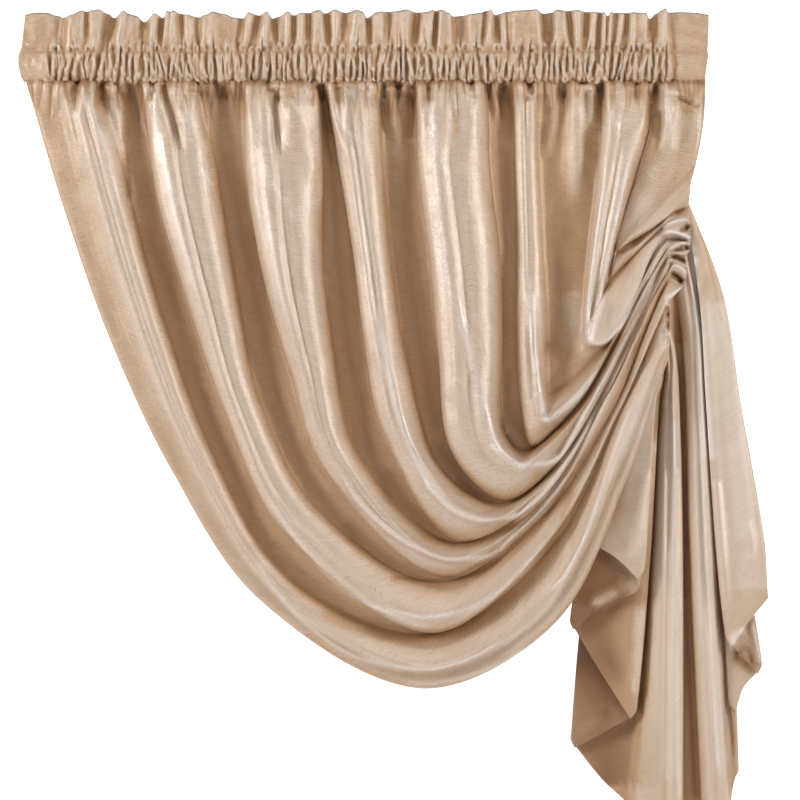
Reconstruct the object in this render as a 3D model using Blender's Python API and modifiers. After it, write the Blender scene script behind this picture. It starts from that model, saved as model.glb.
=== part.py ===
"""One-sided swag curtain: a frilled rod-pocket heading, a swept swag panel and a pleated cascade tail.

Metres, +Z up, front towards -Y. The origin is the middle of the rod pocket, where a rod would hold it.
The tables are in millimetres. Right and down are counted from the top left corner of the hanging,
and forward from the rod's centre towards the room.
"""

import math

import bmesh
import bpy

# Driving sizes
MM = 0.001
CLOTH = 1.8
ROD_RIGHT = 546.0
ROD_DOWN = 100.0

# Heading: the top of the cloth folded over, stitched twice and gathered on the rod
HEADING_LEFT = 30.0
HEADING_RIGHT = 1060.0
FRILL_FOLDS = 27
SECTIONS_PER_FOLD = 4
GATHER_WAVE = 5.0
FLAT_END = 44.0
TOP_UNEVEN = 4.0

# Up one side of the folded strip. forward: half the strip's depth; wave: share of the gathers' wave;
# left, right: how far its flat ends reach past HEADING_LEFT and HEADING_RIGHT.
HEADING_PROFILE = (
    {"name": "lower_stitch", "down": 125.0, "forward": 2.2, "wave": 0.3, "left": -6, "right": -3},
    {"name": "stitched_strip", "down": 122.5, "forward": 2.2, "wave": 0.3, "left": -6, "right": -3},
    {"name": "pocket_low", "down": 113.0, "forward": 14.5, "wave": 0.6, "left": -2, "right": -2},
    {"name": "pocket_middle", "down": 98.0, "forward": 18.0, "wave": 0.7, "left": 2, "right": 1},
    {"name": "pocket_high", "down": 83.0, "forward": 14.0, "wave": 0.6, "left": 2, "right": 2},
    {"name": "upper_stitch", "down": 75.0, "forward": 1.6, "wave": 0.4, "left": -1, "right": 1},
    {"name": "frill_middle", "down": 50.0, "forward": 3.2, "wave": 1.2, "left": -4, "right": 2},
    {"name": "frill_top", "down": 23.0, "forward": 0.0, "wave": 1.7, "left": -8, "right": 3},
)

# Swag: its top is sewn on under the heading's lower stitch
SEAM_GAP = 0.45
SEWN_STRIP = 2.5

# Fold lines of the swag, from its hem inwards. Each falls from the heading down its leg, turns round
# its low point and rises to the shirred seam. top and q1 to q3 are right values down the leg, by
# quarters of its drop; the later stations are right and down.
FOLD_COLUMNS = ("name", "top", "q1", "q2", "q3", "corner", "bottom", "turn", "rise", "seam")
FOLD_LINES = (
    ("hem", 38, 96, 165, 257, (390, 900), (630, 1032), (833, 933), (945, 705), (1000, 543)),
    ("roll_1_out", 87, 138, 201, 285, (417, 900), (638, 1011), (825, 905), (933, 693), (1002, 528)),
    ("roll_1_in", 150, 195, 248, 317, (435, 870), (645, 951), (828, 819), (912, 645), (1008, 420)),
    ("roll_2_out", 215, 236, 284, 341, (425, 792), (645, 945), (822, 810), (909, 643), (1008, 416)),
    ("roll_2_in", 300, 326, 354, 387, (473, 762), (653, 875), (818, 771), (900, 636), (1010, 410)),
    ("roll_3_out", 365, 372, 396, 437, (488, 702), (660, 861), (815, 762), (897, 633), (1011, 407)),
    ("roll_3_in", 477, 483, 482, 500, (534, 675), (672, 812), (810, 750), (885, 620), (1016, 398)),
    ("roll_4_out", 489, 510, 531, 548, (575, 642), (683, 806), (812, 744), (884, 615), (1017, 395)),
    ("roll_4_in", 567, 573, 587, 612, (660, 702), (749, 755), (830, 702), (882, 606), (1022, 384)),
    ("roll_5_out", 626, 630, 647, 660, (678, 672), (755, 746), (831, 695), (882, 600), (1023, 381)),
    ("roll_5_in", 729, 732, 747, 752, (753, 638), (783, 678), (836, 642), (881, 588), (1028, 371)),
    ("roll_6_out", 771, 774, 777, 776, (783, 612), (798, 665), (840, 632), (882, 581), (1029, 368)),
    ("roll_6_in", 806, 807, 812, 818, (821, 578), (828, 594), (866, 566), (911, 518), (1032, 359)),
    ("roll_7_out", 909, 903, 891, 878, (851, 503), (848, 567), (873, 554), (915, 510), (1034, 354)),
    ("roll_7_in", 977, 969, 948, 927, (906, 437), (918, 422), (945, 393), (975, 360), (1035, 335)),
    ("tuck_out", 981, 975, 954, 933, (915, 417), (930, 402), (954, 380), (981, 351), (1035, 329)),
    ("tuck_in", 986, 980, 962, 941, (926, 371), (948, 357), (975, 341), (1005, 320), (1034, 308)),
    ("edge", 1058, 1057, 1055, 1050, (1043, 248), (1040, 258), (1037, 267), (1035, 276), (1034, 285)),
)
# The bands of cloth between neighbouring fold lines. height: share of the ridge at each station.
BANDS = (
    {"name": "hem_band", "section": "low", "height": 0.45},
    {"name": "roll_1", "section": "ridge", "height": 1.0},
    {"name": "valley_1", "section": "valley", "height": 0.0},
    {"name": "roll_2", "section": "ridge", "height": 1.0},
    {"name": "valley_2", "section": "valley", "height": 0.0},
    {"name": "roll_3", "section": "ridge", "height": 1.0},
    {"name": "valley_3", "section": "valley", "height": 0.0},
    {"name": "roll_4", "section": "ridge", "height": 0.9},
    {"name": "valley_4", "section": "valley", "height": 0.0},
    {"name": "roll_5", "section": "ridge", "height": 1.0},
    {"name": "valley_5", "section": "valley", "height": 0.0},
    {"name": "roll_6", "section": "ridge", "height": 0.8},
    {"name": "valley_6", "section": "valley", "height": 0.0},
    {"name": "roll_7", "section": "ridge", "height": 0.9},
    {"name": "valley_7", "section": "valley", "height": 0.0},
    {"name": "tuck", "section": "low", "height": 0.35},
    {"name": "panel", "section": "ridge", "height": 0.8},
)
# Along the folds: how high the ridges stand over the valley floor, where that floor lies, and how far
# a ridge's steep side has moved from its inner edge (0) to its outer one (1). rows: to the next station.
STATIONS = (
    {"name": "top", "ridge": 22.0, "floor": -2.0, "turned": 0.0, "rows": 4},
    {"name": "q1", "ridge": 42.0, "floor": -9.0, "turned": 0.0, "rows": 3},
    {"name": "q2", "ridge": 50.0, "floor": -12.0, "turned": 0.0, "rows": 3},
    {"name": "q3", "ridge": 50.0, "floor": -10.0, "turned": 0.1, "rows": 4},
    {"name": "corner", "ridge": 46.0, "floor": -7.0, "turned": 0.4, "rows": 4},
    {"name": "bottom", "ridge": 40.0, "floor": 0.0, "turned": 0.9, "rows": 4},
    {"name": "turn", "ridge": 28.0, "floor": 8.0, "turned": 1.0, "rows": 4},
    {"name": "rise", "ridge": 22.0, "floor": 10.0, "turned": 1.0, "rows": 4},
    {"name": "seam", "ridge": 9.0, "floor": 3.5, "turned": 0.7, "rows": 0},
)
# Across a band, from its outer to its inner line: share of its height on the leg and after the turn
SECTIONS = {
    "ridge": (
        {"across": 0.0, "leg": 0.08, "turned": 0.2},
        {"across": 0.12, "leg": 0.45, "turned": 0.8},
        {"across": 0.3, "leg": 0.92, "turned": 1.0},
        {"across": 0.52, "leg": 0.88, "turned": 0.9},
        {"across": 0.76, "leg": 1.0, "turned": 0.7},
        {"across": 0.94, "leg": 0.8, "turned": 0.35},
    ),
    "low": (
        {"across": 0.0, "leg": 0.3, "turned": 0.4},
        {"across": 0.35, "leg": 1.0, "turned": 1.0},
        {"across": 0.75, "leg": 0.9, "turned": 0.7},
    ),
    "valley": ({"across": 0.0, "leg": 0.0, "turned": 0.0},),
}
LAST_EDGE = {"across": 1.0, "leg": 0.1, "turned": 0.1}
# The tallest ridge for its width
STEEPEST = 0.62

# Fold lines of the cascade, from the free edge behind the swag to the free edge on the right.
# top: right and down on the shirred seam; shoulder, upper and lower: right values on the way down;
# hem: right and down; forward: place at the hem; turn: the side a fold's edge points to.
TAIL_COLUMNS = ("name", "top", "shoulder", "upper", "lower", "hem", "forward", "turn")
TAIL_LINES = (
    ("inner_edge", (992, 560), 976, 945, 868, (880, 810), -1, None),
    ("front_pleat", (996, 549), 984, 966, 930, (925, 838), 4, None),
    ("fold_1", (999, 543), 992, 984, 972, (965, 868), -1, "right"),
    ("under_1", (1000, 538), 984, 956, 920, (905, 906), -7, None),
    ("fold_2", (1001, 532), 974, 927, 874, (853, 944), -12, "left"),
    ("pleat_2", (1002, 528), 985, 958, 925, (902, 1010), -16, None),
    ("fold_3", (1003, 524), 996, 990, 977, (955, 1078), -21, "right"),
    ("under_2", (1004, 520), 986, 966, 930, (905, 1102), -27, None),
    ("fold_4", (1005, 517), 978, 942, 886, (856, 1123), -32, "left"),
    ("pleat_3", (1006, 514), 992, 972, 938, (905, 1172), -36, None),
    ("centre_left", (1007, 509), 1000, 994, 983, (953, 1222), -34, None),
    ("centre_ridge_1", (1008, 490), 1006, 1008, 1007, (996, 1257), -12, None),
    ("centre_side_1", (1009, 470), 1012, 1016, 1025, (1029, 1264), -20, None),
    ("centre_valley", (1011, 420), 1021, 1025, 1031, (1046, 1264), -36, None),
    ("centre_side_2", (1020, 385), 1030, 1031, 1036, (1062, 1257), -20, None),
    ("centre_ridge_2", (1032, 366), 1041, 1044, 1054, (1077, 1239), -8, None),
    ("centre_right", (1036, 354), 1052, 1059, 1077, (1092, 1218), -24, None),
    ("fold_5", (1037, 345), 1062, 1083, 1095, (1110, 1170), -28, "right"),
    ("under_3", (1037, 338), 1059, 1075, 1089, (1101, 1136), -22, None),
    ("fold_6", (1038, 332), 1056, 1068, 1083, (1092, 1103), -17, "left"),
    ("pleat_4", (1038, 327), 1062, 1090, 1101, (1118, 1056), -12, None),
    ("fold_7", (1038, 321), 1068, 1107, 1118, (1145, 1010), -7, "right"),
    ("under_4", (1038, 316), 1060, 1083, 1095, (1117, 990), -2, None),
    ("fold_8", (1038, 311), 1050, 1059, 1074, (1090, 969), 3, "left"),
    ("front_panel", (1036, 298), 1068, 1084, 1110, (1122, 933), 9, None),
    ("outer_edge", (1035, 286), 1085, 1110, 1146, (1152, 897), 4, None),
)
TAIL_ROWS = (3, 4, 5, 6)
UPPER_DOWN = 600.0
LOWER_DOWN = 825.0
LOWER_SHARE = 0.7
FOLD_RADIUS = 2.6
# At the seam the layers lie close together, just behind the swag's gathered end
SEAM_FORWARD = 0.0
SEAM_SQUEEZE = 0.22
SEAM_LAP = 9.0
FOREMOST = 4.0

CHAMPAGNE = (0.52, 0.38, 0.26, 1.0)
CHAMPAGNE_TAIL = (0.5, 0.36, 0.24, 1.0)
SATIN = 0.42


def place(right, down, forward):
    """A point of the hanging in metres, from table millimetres."""
    return ((right - ROD_RIGHT) * MM, -forward * MM, (ROD_DOWN - down) * MM)


def mix(a, b, share):
    return a + (b - a) * share


def smooth_run(points, rows):
    """Points on a smooth curve through the given ones, with the given number of rows in each span."""
    run = []
    last = len(points) - 1
    for i, count in enumerate(rows):
        before, here, there, after = (points[min(max(i + k, 0), last)] for k in (-1, 0, 1, 2))
        size = math.dist(here, there)
        leave = size / (math.dist(before, here) + size)
        arrive = size / (size + math.dist(there, after))
        starts = [(q - p) * leave for p, q in zip(before, there)]
        ends = [(q - p) * arrive for p, q in zip(here, after)]
        for row in range(count):
            s = row / count
            weights = (2 * s**3 - 3 * s**2 + 1, s**3 - 2 * s**2 + s, 3 * s**2 - 2 * s**3, s**3 - s**2)
            run.append(tuple(
                sum(weight * value for weight, value in zip(weights, values))
                for values in zip(here, starts, there, ends)
            ))
    run.append(tuple(points[-1]))
    return run


def cloth_from_grid(name, grid, collection, material):
    """One sheet of cloth: an open surface through rows of points, given its thickness by Solidify."""
    mesh = bpy.data.meshes.new(name)
    shape = bmesh.new()
    rows = [[shape.verts.new(place(*point)) for point in row] for row in grid]
    for upper, lower in zip(rows, rows[1:]):
        for i in range(len(upper) - 1):
            shape.faces.new((upper[i], lower[i], lower[i + 1], upper[i + 1]))
    shape.to_mesh(mesh)
    shape.free()
    mesh.shade_smooth()
    mesh.materials.append(material)
    sheet = bpy.data.objects.new(name, mesh)
    collection.objects.link(sheet)
    thick = sheet.modifiers.new("Cloth", "SOLIDIFY")
    thick.thickness = CLOTH * MM
    thick.offset = 0.0


def gather_phase(share):
    """Turns of the gathers' wave at a share of the way along the heading, unevenly spaced."""
    return FRILL_FOLDS * share + 0.3 * math.sin(math.tau * 2 * share) + 0.16 * math.sin(math.tau * 5 * share + 1)


def gather_wave(share):
    """The gathers along the heading, in and out, dying away to the flat ends. From -1 to 1."""
    length = HEADING_RIGHT - HEADING_LEFT
    ends = min(1.0, share * length / FLAT_END, (1 - share) * length / FLAT_END)
    return math.sin(math.tau * gather_phase(share)) * (0.8 + 0.2 * math.sin(math.tau * 3 * share)) * ends


def heading_row(step, side):
    """One row of the folded strip along the rod. side: 1 at the front, -1 at the back."""
    sections = FRILL_FOLDS * SECTIONS_PER_FOLD
    uneven = TOP_UNEVEN if step["name"] == "frill_top" else 0.0
    row = []
    for i in range(sections + 1):
        share = i / sections
        right = mix(HEADING_LEFT - step["left"], HEADING_RIGHT + step["right"], share)
        lift = uneven * math.sin(math.pi * gather_phase(share))
        wave = gather_wave(share) * GATHER_WAVE * step["wave"]
        row.append((right, step["down"] - lift, side * step["forward"] + wave))
    return row


def heading_grid():
    """The strip from the back's hem up over the top fold and down the front to the lower stitch."""
    back = [heading_row(step, -1) for step in HEADING_PROFILE]
    front = [heading_row(step, 1) for step in HEADING_PROFILE[:-1]]
    return back + front[::-1]


def fold_line_points(row):
    """The stations of one fold line of the swag, as right and down."""
    line = dict(zip(FOLD_COLUMNS, row))
    start = HEADING_PROFILE[0]["down"] + SEAM_GAP
    leg = [(line[name], mix(start, line["corner"][1], i / 4)) for i, name in enumerate(("top", "q1", "q2", "q3"))]
    return leg + [line[name] for name in ("corner", "bottom", "turn", "rise", "seam")]


def swag_row(lines, ridge, floor, turned):
    """One row across all the folds. lines: where each fold line crosses it."""
    steps = [(i, step) for i, band in enumerate(BANDS) for step in SECTIONS[band["section"]]]
    steps.append((len(BANDS) - 1, LAST_EDGE))
    row = []
    for i, step in steps:
        outer, inner = lines[i], lines[i + 1]
        tallest = min(ridge, STEEPEST * math.dist(outer, inner)) * BANDS[i]["height"]
        height = tallest * mix(step["leg"], step["turned"], turned)
        right, down = (mix(a, b, step["across"]) for a, b in zip(outer, inner))
        row.append((right, down, floor + height))
    return row


def sewn_rows(row):
    """The strip of the swag that is sewn under the heading, gathered as the heading is."""
    stitch = HEADING_PROFILE[0]
    length = HEADING_RIGHT - HEADING_LEFT
    gathered = []
    for right, down, _ in row:
        wave = gather_wave((right - HEADING_LEFT) / length) * GATHER_WAVE * stitch["wave"]
        gathered.append((right, down, stitch["forward"] + wave))
    return [gathered, [(right, down + SEWN_STRIP, forward) for right, down, forward in gathered]]


def swag_grid():
    rows = [station["rows"] for station in STATIONS[:-1]]
    lines = [smooth_run(fold_line_points(line), rows) for line in FOLD_LINES]
    along = smooth_run([(s["ridge"], s["floor"], s["turned"]) for s in STATIONS], rows)
    grid = [swag_row(crossing, *shape) for crossing, shape in zip(zip(*lines), along)]
    return sewn_rows(grid[0]) + grid[1:]


def tail_run(line):
    """The points of one fold line of the cascade, from the shirred seam down to the hem."""
    (top_right, top_down), (hem_right, hem_down), forward = line["top"], line["hem"], line["forward"]
    start = SEAM_FORWARD + SEAM_SQUEEZE * (forward - FOREMOST)
    points = [
        (top_right - SEAM_LAP, top_down, start),
        (line["shoulder"], mix(top_down, UPPER_DOWN, 0.5), mix(start, forward, 0.6)),
        (line["upper"], UPPER_DOWN, mix(start, forward, 0.9)),
        (line["lower"], min(LOWER_DOWN, mix(UPPER_DOWN, hem_down, LOWER_SHARE)), forward),
        (hem_right, hem_down, forward),
    ]
    return smooth_run(points, TAIL_ROWS)


def rounded_fold(run, turn, rises):
    """Three columns that round a fold's edge, opening from nothing at the seam."""
    inward = -1 if turn == "right" else 1
    columns = []
    for side in (-1, 0, 1):
        back = abs(side) * inward * FOLD_RADIUS
        lift = side * (FOLD_RADIUS if rises else -FOLD_RADIUS)
        shares = [k / (len(run) - 1) for k in range(len(run))]
        columns.append([(r + back * s, d, f + lift * s) for s, (r, d, f) in zip(shares, run)])
    return columns


def tail_grid():
    """The cascade's columns, turned into rows from the seam to the hem."""
    lines = [dict(zip(TAIL_COLUMNS, row)) for row in TAIL_LINES]
    columns = []
    for before, line in zip([None, *lines], lines):
        run = tail_run(line)
        if line["turn"]:
            columns += rounded_fold(run, line["turn"], line["forward"] > before["forward"])
        else:
            columns.append(run)
    return list(zip(*columns))


def cloth_material(name, colour):
    material = bpy.data.materials.new(name)
    material.use_nodes = True
    shader = material.node_tree.nodes["Principled BSDF"]
    shader.inputs["Base Color"].default_value = colour
    shader.inputs["Roughness"].default_value = SATIN
    shader.inputs["Metallic"].default_value = 0.0
    return material


def build():
    for old in list(bpy.data.objects):
        bpy.data.objects.remove(old, do_unlink=True)
    collection = bpy.data.collections.new("swag_curtain")
    bpy.context.scene.collection.children.link(collection)
    champagne = cloth_material("champagne_cloth", CHAMPAGNE)
    cloth_from_grid("heading", heading_grid(), collection, champagne)
    cloth_from_grid("swag_panel", swag_grid(), collection, champagne)
    cloth_from_grid("cascade_tail", tail_grid(), collection, cloth_material("champagne_tail", CHAMPAGNE_TAIL))


build()
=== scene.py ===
"""Looks for a one-sided swag curtain: a frilled heading, a swept swag and a cascade tail.

The tables are in millimetres, as the solids' are, and the crease tables count in steps of 1.5 mm.
Right and down are counted from the top left corner of the hanging, and forward from the rod's
centre towards the room. A line's places are written as right and down in turn.
"""

import math

import bpy
import numpy as np
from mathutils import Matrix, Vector


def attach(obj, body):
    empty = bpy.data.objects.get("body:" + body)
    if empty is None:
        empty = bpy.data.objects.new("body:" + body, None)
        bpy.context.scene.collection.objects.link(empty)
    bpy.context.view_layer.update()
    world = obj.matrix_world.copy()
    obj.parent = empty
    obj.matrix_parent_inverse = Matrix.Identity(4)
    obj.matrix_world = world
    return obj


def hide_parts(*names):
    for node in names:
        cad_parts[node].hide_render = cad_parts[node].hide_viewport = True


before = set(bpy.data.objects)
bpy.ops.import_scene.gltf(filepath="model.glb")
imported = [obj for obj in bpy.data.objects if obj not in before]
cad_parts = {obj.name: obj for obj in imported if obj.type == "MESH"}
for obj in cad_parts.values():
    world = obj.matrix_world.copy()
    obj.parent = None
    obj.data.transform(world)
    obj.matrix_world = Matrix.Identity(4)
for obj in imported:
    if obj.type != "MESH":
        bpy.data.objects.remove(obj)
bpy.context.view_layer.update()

bl_info = {
    "name": "Swag curtain",
    "version": (1, 0, 0),
    "blender": (4, 5, 0),
    "location": "3D View > Sidebar > Curtain",
    "description": "Builds the cloth of a swag curtain around its solids",
    "category": "Object",
}

MM = 0.001
STEP = 1.5
ROD_RIGHT = 546.0
ROD_DOWN = 100.0

# Heading: how far down its parts lie, its two sides, and the length of its flat ends, on which
# folds stand out less
FRILL_TOP = 23.0
FRILL_FOOT = 66.0
UPPER_STITCH = 75.0
SWAG_TOP = 117.5
STITCH_DOWN = 120.5
HEADING_LEFT = 30.0
HEADING_RIGHT = 1060.0
HEADING_COLUMNS = 820
FLAT_END = 40.0
END_FORWARD = 0.45
END_WAVE = 0.35
# The ruches scallop its lower edge and arch its upper stitch, and the lower edge sags unevenly
SCALLOP_FROM = 110.0
SCALLOP = 3.2
ARCH = 1.8
ARCH_FADE = 5.0
SAG = 2.4
SAG_SIZE = 27.0
SAG_SEED = 9

# Up one side of the folded strip: half its depth, the share of the fine ruches and of the frill's
# folds, where its two sides lie, and mesh rows up to the next level.
HEADING_COLUMN_NAMES = ("name", "down", "forward", "ruche", "frill", "left", "right", "rows")
HEADING_PROFILE = (
    ("lower_stitch", STITCH_DOWN, 2.6, 0.75, 0.0, 36, 1057, 5),
    ("pocket_low", 113.0, 7.5, 1.0, 0.0, 31, 1058, 5),
    ("pocket_middle", 98.0, 10.5, 0.9, 0.0, 28, 1060, 5),
    ("pocket_high", 83.0, 7.5, 1.0, 0.0, 28, 1062, 5),
    ("upper_stitch", UPPER_STITCH, 2.4, 0.7, 0.25, 31, 1061, 5),
    ("frill_foot", FRILL_FOOT, 3.6, 0.55, 0.7, 33, 1062, 5),
    ("frill_low", 56.0, 3.4, 0.2, 1.0, 34, 1062, 5),
    ("frill_high", 38.0, 2.8, 0.0, 1.15, 36, 1063, 6),
    ("frill_top", FRILL_TOP, 0.0, 0.0, 1.15, 38, 1063, 0),
)
BACK_ROWS_SHARE = 0.3

# The frill's folds from left to right, in steps: where each crest or hollow lies at the top edge
# and at the upper stitch, how far forward it stands in millimetres, and the top edge's level.
FRILL = (
    (25, 21, 0, 15), (35, 32, 2, 13), (46, 43, 1, 13), (58, 58, -6, 16), (63, 62, -5, 18),
    (72, 68, 5, 15), (82, 78, 6, 11), (87, 88, -1, 12), (92, 92, 7, 11), (99, 98, 7, 10),
    (108, 102, -6, 14), (114, 105, -7, 18), (124, 116, 8, 11), (128, 124, 5, 14), (136, 133, 0, 16),
    (144, 146, -7, 22), (155, 150, 7, 14), (163, 160, -6, 18), (167, 164, 6, 11),
    (170, 168, 4, 12.5), (173, 172, 6, 11), (181, 182, -4, 14), (187, 188, 3, 15),
    (198, 199, -5, 17.5), (206, 203, 4, 15), (213, 213, 6, 12), (222, 220, 2, 14),
    (236, 230, 0, 18), (243, 240, -4, 18.5), (248, 245, 6, 13), (259, 250, -5, 15.5),
    (267, 262, 8, 12), (273, 278, -6, 18.5), (279, 282, -1, 17), (288, 287, 7, 12),
    (294, 293, -4, 15.5), (300, 300, 6, 13.5), (309, 310, -5, 13), (316, 315, 6, 11),
    (320, 322, 7, 10.5), (325, 330, -5, 13.5), (335, 336, 5, 10), (345, 342, -4, 13),
    (357, 353, 8, 10.5), (363, 365, 5, 12), (367, 370, -6, 18), (376, 375, 3, 13),
    (381, 381, 6, 12), (387, 387, -4, 12), (398, 396, 3, 11.5), (406, 405, 7, 10),
    (417, 413, -8, 12.5), (426, 420, 4, 12.5), (433, 428, 8, 10.5), (435.5, 433, -6, 11),
    (441, 440, 6, 10), (449, 450, 6, 13.5), (454, 457, -6, 16.5), (462, 466, -5, 16),
    (470, 472, 4, 14.5), (481, 478, 2, 13), (486, 481, -3, 11), (491, 487, 7, 10.5),
    (496, 499, -8, 15), (500, 505, 0, 14), (507, 508, -3, 12), (516, 514, 4, 11),
    (527, 524, 5, 10.5), (536, 540, 8, 10), (544, 546, -8, 13.5), (551, 552, -4, 13),
    (557, 557, 6, 10), (563, 564, 5, 11), (568, 572, -5, 11), (577, 578, 6, 10.5),
    (587, 585, -6, 12), (594, 591, 4, 12.5), (601, 597, -5, 12.5), (604, 603, 6, 12.5),
    (607.5, 606, 1, 16.5), (611, 609, 6, 12.5), (615, 612, -3, 13), (621, 618, 2, 13),
    (628, 624, -6, 13), (633, 631, 5, 12.5), (637, 636, 3, 13), (646, 643, 6, 13.5),
    (650, 651, -6, 19), (656, 656, -4, 14), (661, 660, 4, 11), (665, 666, 8, 9), (669, 670, 0, 13),
    (680, 680, 2, 12.5), (695, 694, 1, 13), (709, 707.5, 0, 15),
)

# The pocket's fine ruches, in steps: places and heights at the two flat ends, where the ruches
# begin and end, how wide they are and how far they lean as shares of the pitch, how often one leans
# as the last did, and how high their crests and how deep their slits are
RUCHE_SEED = 5
BACK_RUCHE_SEED = 11
FLAT_LEFT = ((18.0, 18.0, 0.0, 0.0), (38.0, 38.0, 0.1, 0.1))
FLAT_RIGHT = ((680.0, 680.0, 0.1, 0.1), (712.0, 712.0, 0.0, 0.0))
RUCHES_FROM = 46.0
RUCHES_TO = 672.0
RUCHE_WIDTHS = (0.62, 1.45)
RUCHE_LEANS = (0.1, 0.34)
SAME_LEAN = 0.3
RUCHE_CRESTS = (0.3, 1.2)
RUCHE_SLITS = (0.1, 1.3)
RUCHE_ROUNDNESS = 0.6
# Neighbouring ruches sway together between the stitches, and bow
RUCHE_SWAY = 3.4
SWAY_SIZE = 16.0
SWAY_FROM = 40.0
SWAY_TO = 678.0
SWAY_FADE = 12.0
RUCHE_BOW = 1.6
BOW_SIZE = 9.0
BOW_SEED = 8
PAST_STITCHES = (-0.35, 1.2)

# The pocket's petals, in steps: where they begin and end, half width, lean, root and reach of the
# tip for the hanging and the standing ones, place of the waist, height of the rim, depth of the
# slit, how often the next one stands the other way, and how far on it lies
PETAL_SEED = 33
PETALS_FROM = 50.0
PETALS_TO = 668.0
PETAL_WIDTHS = (2.6, 5.6)
PETAL_LEANS = (-4.5, 4.5)
PETAL_HANGS = (52.0, 69.0, 79.0)
PETAL_STANDS = (79.5, 53.0, 63.0)
PETAL_WAISTS = (0.35, 0.6)
PETAL_RIMS = (1.6, 3.0)
PETAL_SLITS = (1.2, 3.4)
PETAL_TURNS_OVER = 0.8
PETAL_PITCHES = (3.0, 8.0)

# The small loops at the ruches' ends, in steps: foot and direction of the arches over the upper
# stitch and of the cups under the lower one, how many of the ruches have them, half width, height
# of the loop, height of the rim and depth of the slit
LOOP_SEED = 21
ARCHES = (51.0, -1.0)
CUPS = (78.5, 0.7)
LOOP_SHARE = 0.75
LOOP_WIDTHS = (2.0, 4.2)
LOOP_HEIGHTS = (3.5, 7.5)
LOOP_RIMS = (1.4, 2.8)
LOOP_SLITS = (1.5, 3.0)
# How much a painted highlight lightens a rim, and how much painted shade darkens a slit
RIM_LIGHT = 0.25
SLIT_LIGHT = -0.38
# Painted shade over the pocket and the frill, a little darker: as the swag's painted shade lines
# below
HEADING_PAINTED_SHADE = (
    (0.18, 18, (20, 62, 200, 64, 360, 64, 540, 64, 712, 62)),
    (0.12, 20, (15, 30, 200, 31, 400, 29, 600, 31, 712, 29)),
)

# Gathers under the heading: where they begin, are fullest and fade out, and how far forward the
# cloth is stitched
GATHER_SEED = 31
GATHER_LEAN = 0.3
GATHER_START = 7.0
GATHER_FULLEST = 6.0
GATHER_FADE = 26.0
STITCHED_FORWARD = 0.4

# Fold lines of the swag, from its hem inwards: right values down the leg, by quarters of its drop,
# then right and down at the later stations.
FOLD_COLUMNS = ("name", "top", "q1", "q2", "q3", "corner", "bottom", "turn", "rise", "shir", "seam")
FOLD_LINES = (
    ("hem", 38, 96, 165, 257, (390, 900), (630, 1032), (833, 933), (945, 705),
     (987, 578), (1002, 540)),
    ("roll_1_out", 87, 138, 201, 285, (417, 900), (638, 1011), (825, 905), (933, 693),
     (985, 558), (1003, 525)),
    ("roll_1_in", 150, 195, 248, 317, (435, 870), (645, 951), (828, 819), (932, 617),
     (992, 477), (1005, 458)),
    ("roll_2_out", 215, 236, 284, 341, (425, 792), (645, 945), (822, 810), (929, 614),
     (993, 468), (1007, 447)),
    ("roll_2_in", 300, 326, 354, 387, (473, 762), (653, 875), (818, 771), (923, 608),
     (999, 426), (1024, 430)),
    ("roll_3_out", 365, 372, 396, 437, (488, 702), (660, 861), (815, 762), (921, 606),
     (1002, 416), (1027, 426)),
    ("roll_3_in", 477, 483, 482, 500, (534, 675), (672, 812), (810, 750), (908, 598),
     (1008, 399), (1030, 411)),
    ("roll_4_out", 489, 510, 531, 548, (575, 642), (683, 806), (812, 744), (906, 597),
     (1005, 395), (1031, 402)),
    ("roll_4_in", 567, 573, 587, 612, (660, 702), (749, 755), (830, 702), (901, 593),
     (1001, 387), (1029, 390)),
    ("roll_5_out", 626, 630, 647, 660, (678, 672), (755, 746), (831, 695), (899, 592),
     (1000, 383), (1029, 384)),
    ("roll_5_in", 729, 732, 747, 752, (753, 638), (783, 678), (836, 642), (886, 583),
     (1003, 372), (1035, 375)),
    ("roll_6_out", 771, 774, 777, 776, (783, 612), (798, 665), (840, 632), (882, 581),
     (1002, 369), (1035, 368)),
    ("roll_6_in", 806, 807, 812, 818, (821, 578), (828, 594), (866, 566), (911, 518),
     (995, 360), (1035, 363)),
    ("roll_7_out", 906, 902, 892, 882, (877, 492), (884, 515), (906, 514), (932, 490),
     (994, 354), (1035, 358)),
    ("roll_7_in", 977, 969, 948, 927, (906, 437), (918, 422), (945, 393), (975, 360),
     (1002, 333), (1036, 336)),
    ("tuck_out", 981, 975, 954, 933, (915, 417), (930, 402), (954, 380), (981, 351),
     (1008, 329), (1035, 331)),
    ("tuck_in", 986, 980, 962, 941, (926, 371), (948, 357), (975, 341), (1005, 320),
     (1008, 317), (1032, 308)),
    ("edge", 1058, 1057, 1055, 1050, (1043, 248), (1040, 258), (1037, 267), (1035, 276),
     (1034, 283), (1035, 286)),
)
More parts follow.
